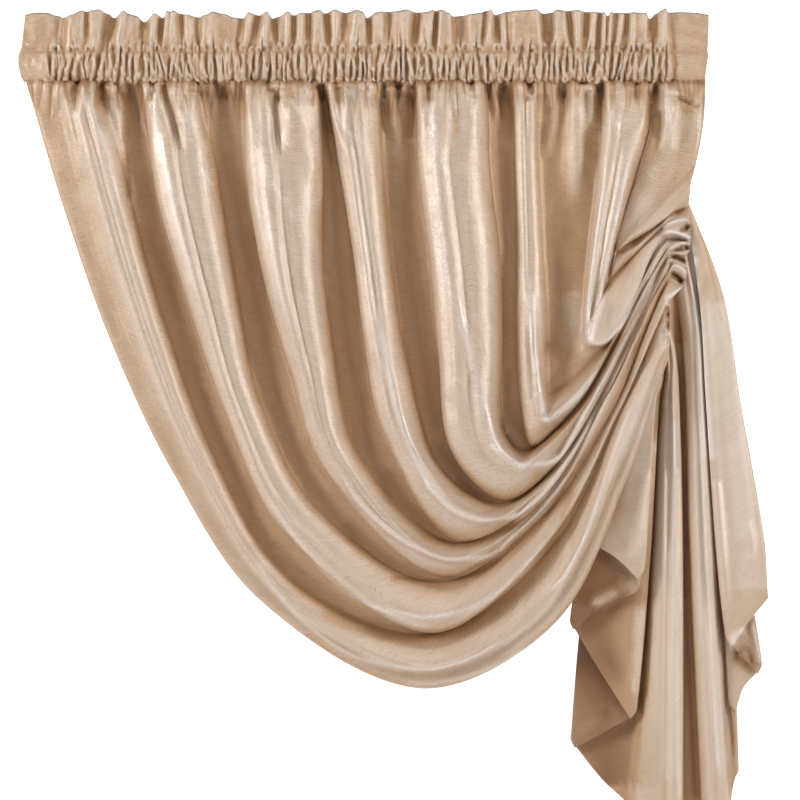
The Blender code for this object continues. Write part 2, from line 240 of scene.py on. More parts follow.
# The bands of cloth between neighbouring fold lines: section, share of the ridge's height, columns,
# which band's width sets that height, and how far it flattens at its outer and inner line where
# folds merge.
BANDS = (
    ("hem", 1.0, 10, 1, 0.0, 0.0), ("first", 1.0, 22, 1, 0.0, 0.0), ("valley", 0.6, 8, 2, 0.0, 0.0),
    ("ridge", 1.0, 20, 3, 0.0, 0.0), ("valley", 0.6, 8, 4, 0.0, 0.0),
    ("middle", 1.0, 20, 5, 0.0, 0.9), ("valley", 0.6, 8, 6, 0.9, 0.9),
    ("middle", 0.9, 18, 7, 0.9, 0.9), ("valley", 0.6, 8, 8, 0.9, 0.9),
    ("inner", 1.0, 20, 9, 0.9, 0.3), ("valley", 0.6, 8, 10, 0.2, 0.1),
    ("middle", 0.8, 16, 11, 0.1, 0.1), ("valley", 0.25, 12, 12, 0.1, 0.0),
    ("last", 0.9, 18, 13, 0.0, 0.0), ("shelf", 0.9, 4, 13, 0.0, 0.0),
    ("tuck", 0.9, 8, 13, 0.0, 0.0), ("panel", 0.9, 18, 13, 0.0, 0.0),
)
# Along the folds: height of the ridges, place of the valley floor, how far a ridge's steep side has
# moved from its inner edge (0) to its outer one (1), how far merging folds have flattened, and mesh
# rows up to the next station.
STATIONS = (
    ("top", 9.0, 1.0, 0.0, 0.0, 9), ("neck", 27.0, -5.0, 0.0, 0.0, 26),
    ("q1", 44.0, -11.0, 0.0, 0.0, 18), ("q2", 50.0, -12.0, 0.0, 0.0, 18),
    ("q3", 50.0, -10.0, 0.1, 0.0, 22), ("corner", 46.0, -7.0, 0.4, 0.0, 26),
    ("bottom", 40.0, 0.0, 0.9, 0.1, 26), ("turn", 28.0, 8.0, 1.0, 0.75, 24),
    ("rise", 24.0, 9.0, 1.0, 1.0, 22), ("shir", 13.0, 7.0, 0.9, 0.8, 14),
    ("seam", 7.0, 3.0, 0.7, 0.0, 0),
)
LEG_SPANS = 5
NECK_DROP = 26.0
# The height that merging folds flatten to, and how soon across a band the flattening opens
CALM_LEVEL = 0.55
CALM_OPENS = 2.5
# Across a band, from its outer to its inner line: place and height on the leg, then after the turn
SECTIONS = {
    "hem": (
        (0.0, 0.2, 0.0, 0.06), (0.08, 0.3, 0.05, 0.28), (0.3, 0.36, 0.25, 0.52),
        (0.6, 0.42, 0.5, 0.6), (0.85, 0.52, 0.8, 0.58), (1.0, 0.6, 1.0, 0.56),
    ),
    "first": (
        (0.0, 0.6, 0.0, 0.56), (0.08, 0.68, 0.03, 0.6), (0.18, 0.85, 0.08, 0.72),
        (0.3, 1.0, 0.14, 0.92), (0.4, 1.0, 0.21, 1.0), (0.5, 0.91, 0.32, 0.86),
        (0.6, 0.98, 0.45, 0.68), (0.7, 1.0, 0.6, 0.5), (0.8, 0.9, 0.75, 0.34),
        (0.9, 0.68, 0.88, 0.2), (0.98, 0.36, 0.95, 0.1), (1.04, 0.12, 1.02, 0.0),
    ),
    "last": (
        (0.0, 0.0, 0.0, 0.1), (-0.01, 0.3, -0.03, 0.3), (0.0, 0.58, -0.03, 0.5),
        (0.07, 0.78, 0.0, 0.68), (0.18, 0.95, 0.05, 0.8), (0.3, 0.98, 0.12, 0.76),
        (0.42, 0.88, 0.25, 0.7), (0.55, 0.98, 0.4, 0.66), (0.7, 1.0, 0.58, 0.6),
        (0.84, 0.8, 0.75, 0.5), (0.93, 0.6, 0.88, 0.42), (1.0, 0.45, 1.0, 0.3),
    ),
    "shelf": ((0.0, 0.45, 0.0, 0.3), (0.5, 0.4, 0.5, 0.22), (1.0, 0.38, 1.0, 0.2)),
    "tuck": (
        (0.0, 0.38, 0.0, 0.2), (0.2, 0.42, 0.12, 0.4), (0.4, 0.5, 0.35, 0.52),
        (0.6, 0.5, 0.6, 0.42), (0.8, 0.46, 0.85, 0.24), (1.0, 0.42, 1.0, 0.14),
    ),
    "panel": (
        (0.0, 0.42, 0.0, 0.14), (0.03, 0.48, -0.1, 0.5), (0.08, 0.55, -0.02, 0.8),
        (0.16, 0.62, 0.08, 0.86), (0.3, 0.64, 0.22, 0.76), (0.5, 0.52, 0.45, 0.66),
        (0.7, 0.5, 0.65, 0.6), (0.85, 0.52, 0.85, 0.5), (1.0, 0.4, 1.0, 0.36),
    ),
    "valley": (
        (0.05, 0.0, 0.03, 0.0), (0.25, -0.16, 0.3, -0.06), (0.5, -0.3, 0.5, -0.08),
        (0.75, -0.18, 0.75, -0.06), (1.0, 0.0, 1.0, 0.0),
    ),
}
# The ridges share one shape on the leg, and each kind has its own after the turn
RIDGE_LEG = (
    (0.0, 0.0), (-0.02, 0.3), (-0.01, 0.58), (0.06, 0.77), (0.16, 0.9), (0.27, 1.04), (0.36, 1.0),
    (0.46, 0.87), (0.57, 1.0), (0.67, 0.97), (0.8, 0.85), (0.91, 0.6), (1.0, 0.27), (1.05, 0.02),
)
RIDGES_TURNED = {
    "ridge": (
        (0.0, 0.02), (-0.05, 0.3), (-0.045, 0.62), (0.02, 0.9), (0.1, 1.0), (0.2, 0.98),
        (0.3, 0.87), (0.45, 0.68), (0.6, 0.5), (0.75, 0.34), (0.88, 0.2), (0.95, 0.1), (1.0, 0.04),
        (1.03, 0.0),
    ),
    "middle": (
        (0.0, 0.02), (-0.05, 0.24), (-0.04, 0.42), (0.04, 0.55), (0.16, 0.66), (0.28, 0.76),
        (0.38, 0.88), (0.45, 1.08), (0.49, 1.18), (0.54, 1.02), (0.62, 0.76), (0.76, 0.44),
        (0.93, 0.12), (1.02, 0.0),
    ),
    "inner": (
        (0.0, 0.02), (-0.05, 0.24), (-0.04, 0.42), (0.03, 0.55), (0.14, 0.62), (0.28, 0.68),
        (0.42, 0.76), (0.55, 0.86), (0.65, 1.02), (0.7, 1.18), (0.74, 1.2), (0.81, 0.86),
        (0.92, 0.36), (1.02, 0.0),
    ),
}
SECTIONS.update({name: np.hstack((RIDGE_LEG, turned)) for name, turned in RIDGES_TURNED.items()})
# The steepest that a ridge stands, by its width, and how far below the heading the folds open
STEEPEST = 0.62
EMERGE = 13.0

# The front of the solids, and how far the foremost crests may stand proud of it
FRONT = 39.0
FRONT_EASE = 9.0

# Tucks and creases pressed into the swag: millimetres forward, half width, fade at each end, then
# the line's places. Widths, fades and places count in steps.
SWAG_CREASES = (
    # Under the heading, from left to right
    (-8, 3, 3, 14, (72, 84, 75, 100, 77, 116)),
    (5, 3, 4, 30, (64, 86, 67, 105, 73, 130, 80, 160)),
    (5.5, 4, 4, 40, (82, 84, 88, 100, 97, 130, 103, 160)),
    (-12, 4.5, 2, 30, (98, 82, 100, 95, 103, 112, 106, 135)),
    (14.5, 6, 3, 60, (108, 84, 113, 110, 119, 140, 126, 180, 128, 205)),
    (6.5, 3, 6, 20, (118, 92, 124, 115, 128, 140)),
    (-14, 6, 2, 35, (131, 84, 133, 95, 137, 115, 142, 140)),
    (8, 2.5, 2, 3, (151, 86, 149, 95, 146, 102)),
    (5, 3, 4, 40, (155, 90, 156, 120, 159, 150)),
    (-13, 4, 2, 50, (163, 84, 168, 105, 174, 125, 182, 150, 190, 175)),
    (6.5, 4, 4, 60, (176, 92, 184, 115, 192, 140, 199, 165)),
    (-11, 3, 3, 30, (200, 90, 202, 105, 205, 125, 210, 150)),
    (5, 2, 2, 2, (177, 88, 186, 93, 198, 95)),
    (9.5, 5, 3, 35, (209, 84, 212, 105, 215, 126)),
    (-9.5, 4, 2, 12, (221, 84, 222, 95, 223, 105)),
    (8, 5, 3, 35, (230, 84, 232, 105, 233, 124)),
    (5, 4, 3, 60, (248, 84, 250, 110, 254, 140, 256, 170)),
    (-13, 4.5, 4, 40, (275, 88, 275, 115, 277, 140, 280, 170)),
    (-8, 2.5, 1, 8, (265, 82, 266, 88, 268, 95)),
    (-11, 2.5, 1, 6, (281, 80, 279, 98, 276, 104)),
    (6.5, 5, 4, 30, (284, 96, 292, 112, 302, 130, 312, 150)),
    (5, 2.5, 3, 25, (303, 88, 303, 105, 305, 118)),
    (6.5, 4, 3, 30, (312, 86, 319, 104, 322, 130)),
    (-15, 5.5, 2, 50, (318, 84, 324, 100, 328, 125, 333, 150, 340, 175)),
    (-7, 9, 40, 30, (288, 140, 297, 165, 308, 192)),
    (5, 3, 3, 40, (332, 90, 334, 115, 341, 140, 350, 165)),
    (-9.5, 4.5, 4, 35, (341, 86, 341, 105, 342, 120, 343, 136)),
    (-11, 2.5, 1, 8, (348, 82, 347, 95)),
    (8, 5, 4, 40, (357, 90, 360, 115, 362, 140, 366, 170)),
    (-8, 2.5, 1, 5, (366, 84, 371, 97, 376, 108)),
    (-9.5, 3, 5, 30, (380, 98, 383, 115, 385, 140)),
    (14.5, 5, 3, 25, (391, 86, 394, 110, 398, 140, 401, 160)),
    (9.5, 2.8, 3, 30, (403, 86, 403, 120, 405, 150)),
    (-9.5, 3, 1, 5, (385, 84, 385, 100)),
    (-13, 6, 3, 60, (411, 92, 411, 115, 411, 150)),
    (6.5, 3, 2, 30, (413, 88, 419, 108, 421, 130)),
    (-8, 3.5, 3, 22, (430, 86, 430, 100, 430, 113)),
    (-4, 5, 10, 15, (431, 118, 431, 133)),
    (-6.5, 2, 1, 4, (438, 84, 437, 95, 435, 104)),
    (8, 4, 4, 60, (446, 90, 449, 110, 448, 150)),
    (-13, 4, 2, 60, (453, 84, 454, 110, 456, 140, 458, 170)),
    (6.5, 5, 3, 50, (468, 88, 472, 115, 477, 150)),
    (9.5, 3, 3, 20, (494, 84, 496, 100, 499, 125)),
    (-14, 6, 2, 60, (503, 84, 506, 100, 509, 125, 511, 150)),
    (5, 2, 2, 2, (523, 84, 526, 94, 533, 97, 537, 92)),
    (-5, 3, 2, 2, (529, 85, 532, 92)),
    (6.5, 4, 3, 60, (530, 100, 533, 130, 535, 160)),
    (9.5, 3.5, 2, 30, (557, 84, 555, 105, 549, 135, 543, 165)),
    (-14.5, 4, 2, 15, (562, 84, 562, 95, 560, 105)),
    (17, 11, 3, 80, (582, 84, 580, 110, 578, 140, 577, 170, 578, 200, 580, 228)),
    (5, 4, 4, 30, (575, 90, 574, 120, 573, 150)),
    (6.5, 4, 3, 20, (594, 90, 593, 115, 588, 140)),
    (-9, 3.5, 3, 30, (587, 90, 587, 110, 588, 130)),
    (-14.5, 3.5, 2, 30, (601, 84, 601, 105, 600, 130)),
    (4, 4, 3, 30, (617, 92, 618, 115, 622, 130)),
    (-6, 5, 4, 30, (632, 90, 632, 110, 628, 132)),
    (8, 4, 3, 50, (647, 94, 644, 115, 640, 140, 634, 165)),
    (5, 2, 2, 2, (615, 93, 622, 91, 626, 86)),
    (5, 2, 1, 2, (650, 84, 653, 98, 651, 104)),
    (-17.5, 3.5, 1, 10, (656, 82, 655, 92, 653, 104)),
    (13, 5, 3, 60, (664, 84, 666, 105, 669, 140, 669, 180)),
    (5, 2.2, 3, 3, (670, 90, 682, 96, 697, 104)),
    (-5, 2.5, 3, 3, (675, 97, 688, 103, 699, 107)),
    (-8, 5, 5, 40, (659, 110, 657, 140, 652, 165)),
    # Between the creases that rise to the seam
    (4, 3, 20, 6, (590, 400, 612, 362, 634, 320, 645, 300, 655, 270, 667, 248)),
    (4, 3, 20, 6, (600, 405, 622, 362, 640, 330, 652, 300, 662, 277, 671, 264)),
    (-4, 2, 20, 4, (612, 372, 636, 326, 650, 295, 660, 270, 665, 260)),
    (5, 6, 30, 8, (605, 480, 625, 425, 643, 380, 657, 335, 662, 312)),
    # The hollows inside the inner folds' bends
    (-7, 8, 30, 6, (643, 215, 631, 255, 620, 285, 608, 315, 602, 330)),
    (-5, 4, 20, 4, (600, 270, 594, 305, 589, 328)),
    # Shirred ends, from the top down
    (8.5, 3, 4, 1, (660, 227, 672, 222, 684, 220, 690, 223)),
    (-11.5, 2.5, 3, 1, (677, 232, 685, 229, 688, 225)),
    (10, 3, 4, 1, (661, 234, 672, 232, 682, 234, 690, 240)),
    (-8.5, 1.7, 1, 1, (664, 240, 675, 240, 688, 241)),
    (7, 2.5, 3, 1, (667, 249, 676, 245, 684, 243, 690, 243)),
    (-11.5, 2, 2, 1, (674, 250, 682, 249, 688, 247)),
    (6, 2, 2, 1, (666, 256, 674, 253, 681, 254)),
    (-11.5, 2, 1, 1, (672, 257, 679, 259, 684, 262)),
    (6, 1.8, 2, 1, (665, 261, 671, 260, 677, 262)),
    (8.5, 3.2, 2, 1, (673, 263, 680, 267, 686, 274)),
    (-14.5, 3, 1, 2, (671, 273, 677, 276, 683, 282)),
    (8.5, 3.2, 3, 1, (663, 300, 672, 294, 682, 288)),
    (7, 2, 1, 1, (665, 303, 670, 307, 675, 312, 675, 318)),
    (-10, 2, 1, 1, (667, 313, 669, 317)),
    (6, 1.8, 1, 1, (663, 322, 670, 321, 675, 320)),
    (-13, 1.8, 1, 1, (667, 324, 669, 327, 671, 330)),
    (6, 2, 1, 1, (663, 332, 668, 334, 671, 339, 668, 346)),
)

# The bright crests of the folds: as the creases, and at the end how much painted highlight lightens
# their cloth. Rows with no height are painted highlights alone
SWAG_CRESTS_AND_HIGHLIGHTS = (
    # The bent ones of the inner folds
    (4, 2.6, 60, 0, (612, 150, 603, 200, 595, 250, 589, 300, 586, 338), 0.7),
    (5, 3, 60, 0, (632, 125, 621, 190, 610, 245, 600, 295, 589, 341), 0.7),
    (5, 2.2, 0, 40, (587, 339, 589, 343, 596, 344.5, 603, 343, 612, 336, 620, 327, 640, 297,
                     655, 262, 663, 236), 0.7),
    (7, 2.6, 50, 0, (527, 260, 533, 340, 539, 385, 546, 421), 0.7),
    (11, 3.2, 0, 40, (545, 420, 548, 421, 560, 412, 577, 397, 592, 378, 612, 342), 0.7),
    (7, 3.2, 60, 0, (452, 270, 460, 310, 470, 355, 483, 405, 498, 449), 0.7),
    (11, 3.2, 0, 4, (496, 446, 499, 450, 508, 457, 518, 465, 523, 466), 0.7),
    (11, 3.2, 4, 60, (518, 465, 524, 466, 545, 463, 557, 459, 563, 453, 582, 418, 611, 364,
                      630, 325), 0.7),
    (7, 3.2, 60, 0, (372, 290, 384, 350, 400, 415, 418, 462, 431, 488), 0.7),
    (11, 3.4, 0, 60, (429, 485, 432, 489, 450, 507, 478, 518, 502, 518, 518, 515, 526, 509,
                      546, 490, 571, 454, 600, 405), 0.7),
    # The long ones of the outer folds
    (3.5, 2.6, 60, 40, (240, 540, 280, 595, 310, 625, 350, 652, 390, 665, 430, 668, 470, 657,
                        510, 637, 545, 607, 560, 585, 580, 545, 600, 490, 620, 430, 640, 380), 0.6),
    (2.5, 2.0, 20, 20, (400, 681, 430, 682, 470, 674, 500, 662, 530, 645), 0.6),
    (3.5, 2.8, 60, 30, (268, 490, 290, 530, 310, 555, 350, 595, 390, 610, 430, 616, 470, 607,
                        510, 583, 530, 560, 550, 530), 0.6),
    (8, 3.0, 60, 40, (335, 455, 346, 480, 360, 503, 400, 538, 440, 557, 460, 559, 482, 558,
                      495, 554, 515, 535, 540, 510, 570, 470, 600, 412, 620, 370), 0.6),
    # Painted highlights down the folds
    (0, 3, 40, 60, (88, 160, 99, 200, 112, 250, 128, 300, 146, 350, 166, 400, 187, 450), 0.3),
    (0, 4, 20, 40, (150, 100, 160, 150, 172, 200, 184, 250, 203, 310), 0.3),
    (0, 4, 20, 60, (255, 100, 260, 150, 265, 200, 272, 250, 284, 300, 300, 350), 0.3),
    (0, 3, 20, 60, (298, 110, 305, 170, 312, 230, 322, 300, 330, 350), 0.3),
    (0, 3.5, 20, 60, (357, 110, 362, 170, 364, 230, 368, 290, 378, 350), 0.3),
    (0, 4, 20, 60, (428, 100, 434, 160, 438, 220, 440, 260, 448, 330), 0.3),
    (0, 3, 20, 60, (520, 90, 522, 150, 524, 220, 527, 280, 532, 340), 0.3),
    (0, 5, 20, 30, (577, 90, 574, 150, 572, 210), 0.3),
    (0, 3, 10, 40, (665, 92, 668, 125, 666, 165), 0.6),
    (0, 3, 10, 10, (700, 108, 703, 150, 699, 178, 691, 197), 0.5),
    # Painted highlights on the rims round the tucks at the tops of the folds
    (0, 2.4, 8, 8, (318, 112, 321, 150, 321, 186, 315, 204, 305, 203), 0.6),
    (0, 2.6, 10, 10, (262, 160, 274, 186, 287, 206, 298, 224), 0.5),
    (0, 2.4, 10, 4, (184, 108, 193, 140, 202, 168, 213, 188), 0.6),
    (0, 2.4, 10, 20, (152, 100, 163, 150, 173, 188, 183, 214), 0.5),
    (0, 2.2, 8, 6, (117, 108, 126, 140, 132, 172, 133, 198, 128, 211), 0.6),
    (0, 2.4, 8, 20, (88, 98, 98, 130, 110, 172, 121, 210), 0.5),
    (0, 2.2, 6, 6, (334, 98, 340, 120, 350, 134, 360, 141), 0.6),
    (0, 2.2, 6, 20, (372, 98, 376, 125, 378, 155, 380, 190), 0.5),
    (0, 2.4, 6, 12, (430, 100, 434, 130, 441, 160, 452, 182), 0.5),
    (0, 2.2, 6, 20, (476, 98, 481, 130, 486, 165, 490, 200), 0.5),
    (0, 2.2, 6, 8, (606, 96, 610, 115, 618, 125, 627, 118), 0.6),
    # Painted highlights on the loops of the shirring
    (0, 3.5, 3, 2, (663, 226, 674, 221, 686, 222), 1.0),
    (0, 2.4, 3, 1, (664, 233, 676, 232, 684, 235, 690, 240), 1.0),
    (0, 2.2, 3, 1, (667, 248, 676, 245, 684, 243, 690, 243), 1.0),
    (0, 2.4, 2, 1, (673, 264, 680, 267, 686, 273), 1.0),
    (0, 3, 3, 1, (663, 300, 672, 294, 682, 288), 1.0),
    (0, 2.4, 1, 1, (665, 303, 670, 307, 675, 312, 675, 318), 1.0),
    (0, 2.4, 1, 1, (663, 333, 668, 335, 671, 340, 668, 346), 1.0),
)

# How much painted shade darkens the cloth along lines deep in its folds, painted light where below
# zero: amount, half width, line's places
SWAG_PAINTED_SHADE = (
    # Under the stitch and between the gathers
    (0.5, 2.6, (40, 82, 200, 82, 400, 82, 600, 82, 703, 82)),
    (0.37, 3, (101, 84, 102, 98, 105, 115)),
    (0.5, 4, (131, 84, 134, 105, 138, 125, 142, 142)),
    (0.31, 3, (162, 84, 167, 100, 174, 120)),
    (0.5, 6, (222, 84, 223, 100, 225, 120)),
    (0.43, 4, (241, 84, 242, 100, 243, 122)),
    (0.31, 2.5, (276, 84, 275, 105, 277, 130)),
    (0.5, 4, (320, 84, 325, 105, 329, 135)),
    (0.43, 3, (381, 84, 383, 110, 385, 135)),
    (0.56, 6, (410, 84, 411, 110, 411, 140)),
    (0.31, 2.5, (453, 84, 454, 110, 456, 135)),
    (0.5, 5, (504, 84, 507, 110, 510, 140)),
    (0.37, 4, (543, 84, 545, 100, 546, 115)),
    (0.5, 3, (562, 84, 562, 95, 561, 106)),
    (0.43, 3.5, (601, 84, 601, 105, 601, 125)),
    (0.43, 3, (657, 84, 655, 95, 653, 106)),
    # Inside the tucks at the tops of the folds
    (0.4, 8, (293, 115, 300, 150, 308, 188)),
    (0.35, 5, (178, 120, 186, 150, 197, 182, 204, 208)),
    (0.5, 2.6, (121, 150, 126, 175, 129, 200)),
    (0.35, 5, (352, 100, 358, 118, 364, 130)),
    (0.35, 6, (453, 110, 458, 140, 466, 175)),
    (0.3, 5, (616, 92, 618, 106, 619, 116)),
    # Stretches of the hollows painted lighter
    (-0.35, 8, (112, 100, 120, 140, 132, 190, 144, 230)),
    (-0.3, 6, (392, 115, 396, 150, 397, 185)),
    (-0.3, 5, (597, 105, 595, 145, 591, 185)),
    (-0.35, 5, (507, 215, 509, 300, 510, 370)),
    (-0.3, 6, (183, 320, 192, 355, 204, 390)),
    # Down the middle of the hollows between the folds
    (0.3, 4, (128, 150, 140, 200, 155, 250, 174, 300, 190, 350, 206, 400, 227, 450, 253, 500)),
    (0.35, 4, (225, 150, 235, 200, 245, 250, 256, 300, 267, 350, 280, 400, 298, 450, 325, 500,
               360, 545)),
    (0.35, 4, (331, 150, 335, 200, 338, 250, 343, 300, 348, 350, 361, 400, 370, 450, 390, 500)),
    (0.35, 5, (411, 140, 405, 200, 408, 250, 413, 300, 422, 350, 430, 400, 437, 430)),
    (0.35, 4, (507, 150, 508, 200, 508, 250, 508, 300, 510, 350, 508, 400)),
    (0.3, 6, (550, 120, 552, 200, 556, 260, 556, 300, 555, 350)),
    # Creases that rise to the seam
    (0.9, 2.6, (390, 577, 430, 581, 470, 576, 500, 561, 530, 536, 550, 511, 570, 476, 603, 425,
                616, 400, 625, 380, 636, 350, 646, 325, 656, 300, 668, 277)),
    (0.5, 5, (320, 612, 360, 630, 400, 637, 440, 632, 480, 617, 520, 590, 540, 565, 560, 525,
              573, 490)),
    (0.5, 3, (420, 535, 455, 543, 490, 538, 520, 520, 540, 504)),
    (0.5, 3.5, (455, 478, 470, 490, 500, 502, 520, 495, 553, 468)),
    (0.9, 3.5, (505, 433, 515, 447, 523, 451, 535, 449, 548, 441, 560, 430, 575, 413, 590, 391,
                600, 371, 612, 347)),
    (-0.5, 12, (570, 290, 576, 335, 590, 357)),
    (-0.4, 9, (622, 455, 634, 420, 648, 370)),
    (-0.45, 16, (612, 330, 640, 280, 662, 240, 682, 228)),
    # Beside the flat cloth at the right, and inside the bends of the inner folds
    (0.4, 4, (655, 98, 656, 130, 652, 168)),
    (0.6, 2.8, (547, 397, 570, 382, 590, 362, 600, 352, 612, 346, 625, 325, 640, 292, 648, 270,
                660, 250)),
    (0.4, 4, (584, 346, 595, 348, 606, 345, 622, 331)),
    (0.5, 2.4, (605, 292, 620, 272, 640, 250, 650, 239, 662, 229, 672, 220)),
    (0.5, 2.6, (617, 249, 650, 231, 672, 215, 684, 208)),
    # Towards the lower edges of the folds' bottoms
    (0.45, 8, (436, 445, 458, 470, 480, 487, 502, 495, 522, 489, 545, 471)),
    (0.45, 8, (385, 470, 404, 500, 427, 520, 455, 533, 488, 529, 515, 513)),
    (0.4, 7, (345, 520, 370, 547, 400, 566, 430, 573, 470, 567, 500, 552)),
    (0.45, 7, (508, 400, 514, 420, 525, 434, 540, 431, 556, 418)),
    (0.4, 6, (290, 580, 320, 603, 350, 619, 400, 629, 440, 625, 480, 610)),
    (0.35, 5, (300, 634, 340, 659, 390, 680, 430, 683, 470, 676, 510, 655)),
    # Holes between the shirred ends
    (1.2, 3, (675, 216, 681, 211, 687, 207)),
    (1.0, 2, (678, 232, 685, 230)),
    (1.0, 2.2, (672, 252, 678, 250, 686, 248)),
    (1.0, 2, (672, 258, 679, 260, 685, 263)),
    (1.3, 2.6, (671, 274, 677, 277, 684, 284)),
    (1.0, 2, (676, 292, 680, 300, 682, 306)),
    (1.0, 1.6, (666, 313, 669, 317)),
    (1.3, 1.8, (666, 324, 671, 330)),
    (1.0, 2, (672, 338, 673, 346)),
)

# Fold lines of the cascade, from the free edge behind the swag to the free edge on the right
TAIL_COLUMNS = ("name", "top", "shoulder", "upper", "lower", "hem", "forward", "turn")
TAIL_LINES = (
    ("inner_edge", (992, 560), 976, 945, 868, (880, 810), -1, None),
    ("front_pleat", (996, 549), 984, 966, 930, (925, 838), 4, None),
    ("fold_1", (999, 543), 992, 984, 972, (965, 868), -1, "right"),
    ("roll_1", (999.5, 541), 990, 979, 960, (956, 887), -4, None),
    ("under_1", (1000, 538), 984, 956, 920, (905, 908), -7, None),
    ("fold_2", (1001, 532), 974, 927, 874, (853, 944), -12, "left"),
    ("pleat_2", (1002, 528), 985, 958, 925, (902, 1010), -16, None),
    ("fold_3", (1003, 524), 996, 990, 977, (955, 1078), -21, "right"),
    ("under_2", (1004, 520), 986, 966, 930, (905, 1102), -27, None),
    ("fold_4", (1005, 517), 978, 942, 886, (856, 1123), -32, "left"),
    ("pleat_3", (1006, 514), 992, 972, 938, (905, 1172), -38, None),
    ("left_gap", (1007, 509), 997, 985, 976, (940, 1205), -38, None),
    ("left_fold_edge", (1008, 503), 1001, 993, 984, (958, 1226), -24, None),
    ("left_crest_1", (1008, 497), 1003, 1000, 995, (984, 1247), -15, None),
    ("left_dip", (1009, 490), 1006, 1005, 1002, (998, 1258), -17, None),
    ("left_crest_2", (1009, 482), 1010, 1011, 1012, (1011, 1262), -11, None),
    ("left_side", (1010, 470), 1014, 1019, 1024, (1024, 1264), -17, None),
    ("gap_near", (1011, 460), 1016, 1021, 1027, (1028, 1264), -38, None),
    ("gap_far", (1014, 420), 1023, 1029, 1034, (1053, 1262), -38, None),
    ("right_fold_edge", (1018, 395), 1025, 1031, 1037, (1058, 1260), -22, None),
    ("right_crest_1", (1024, 380), 1034, 1040, 1048, (1070, 1247), -9, None),
    ("right_dip", (1028, 370), 1040, 1047, 1058, (1079, 1239), -10, None),
    ("right_crest_2", (1032, 364), 1047, 1055, 1069, (1089, 1228), -4, None),
    ("right_side", (1036, 354), 1053, 1062, 1078, (1097, 1206), -22, None),
    ("fold_5", (1037, 345), 1062, 1083, 1095, (1110, 1170), -28, "right"),
    ("under_3", (1037, 338), 1059, 1075, 1089, (1103, 1118), -22, None),
    ("fold_6", (1038, 332), 1056, 1068, 1083, (1095, 1068), -17, "left"),
    ("pleat_4", (1038, 327), 1062, 1090, 1101, (1116, 1032), -12, None),
    ("fold_7", (1038, 321), 1068, 1107, 1118, (1145, 1010), -7, "right"),
    ("under_4", (1038, 316), 1060, 1083, 1095, (1117, 990), -2, None),
    ("fold_8", (1038, 311), 1050, 1059, 1074, (1090, 969), 3, "left"),
    ("front_panel", (1036, 298), 1068, 1084, 1110, (1122, 933), 9, None),
    ("outer_edge", (1035, 286), 1085, 1110, 1146, (1152, 897), 4, None),
)
# Tucks and creases pressed into the cascade, as the swag's
TAIL_CREASES = (
    (5, 6, 20, 8, (641, 600, 638, 650, 634, 700)),
    (-3, 8, 20, 20, (605, 645, 615, 670, 622, 690)),
    (3, 6, 20, 20, (655, 430, 646, 490, 638, 540)),
    (-3, 9, 20, 20, (622, 470, 615, 510, 610, 545)),
    (3, 7, 10, 10, (590, 700, 588, 735)),
    (-3, 7, 10, 10, (610, 705, 606, 728)),
    (5, 4, 10, 4, (727, 610, 722, 560, 716, 480)),
    (2.5, 8, 30, 20, (728, 330, 738, 430, 750, 540, 757, 600)),
    (-3, 8, 30, 20, (712, 330, 722, 430, 732, 530, 742, 610)),
    (2, 3, 4, 4, (745, 520, 752, 540, 750, 560)),
    (2, 3, 4, 4, (738, 570, 746, 582, 755, 580)),
    (7, 3, 4, 4, (731, 647, 735, 635, 744, 628)),
    (-6, 4, 4, 4, (735, 655, 745, 650, 755, 664)),
    (5, 3, 4, 4, (751, 622, 756, 642, 761, 664)),
    (4, 7, 10, 8, (630, 560, 637, 520, 645, 470)),
    (3, 5, 6, 6, (588, 604, 604, 597, 618, 590)),
    (-3, 5, 6, 6, (605, 612, 620, 600, 632, 590)),
    (-3, 6, 6, 6, (598, 712, 606, 716, 614, 712)),
    (6, 3, 20, 20, (671, 360, 673, 420, 675, 480)),
)
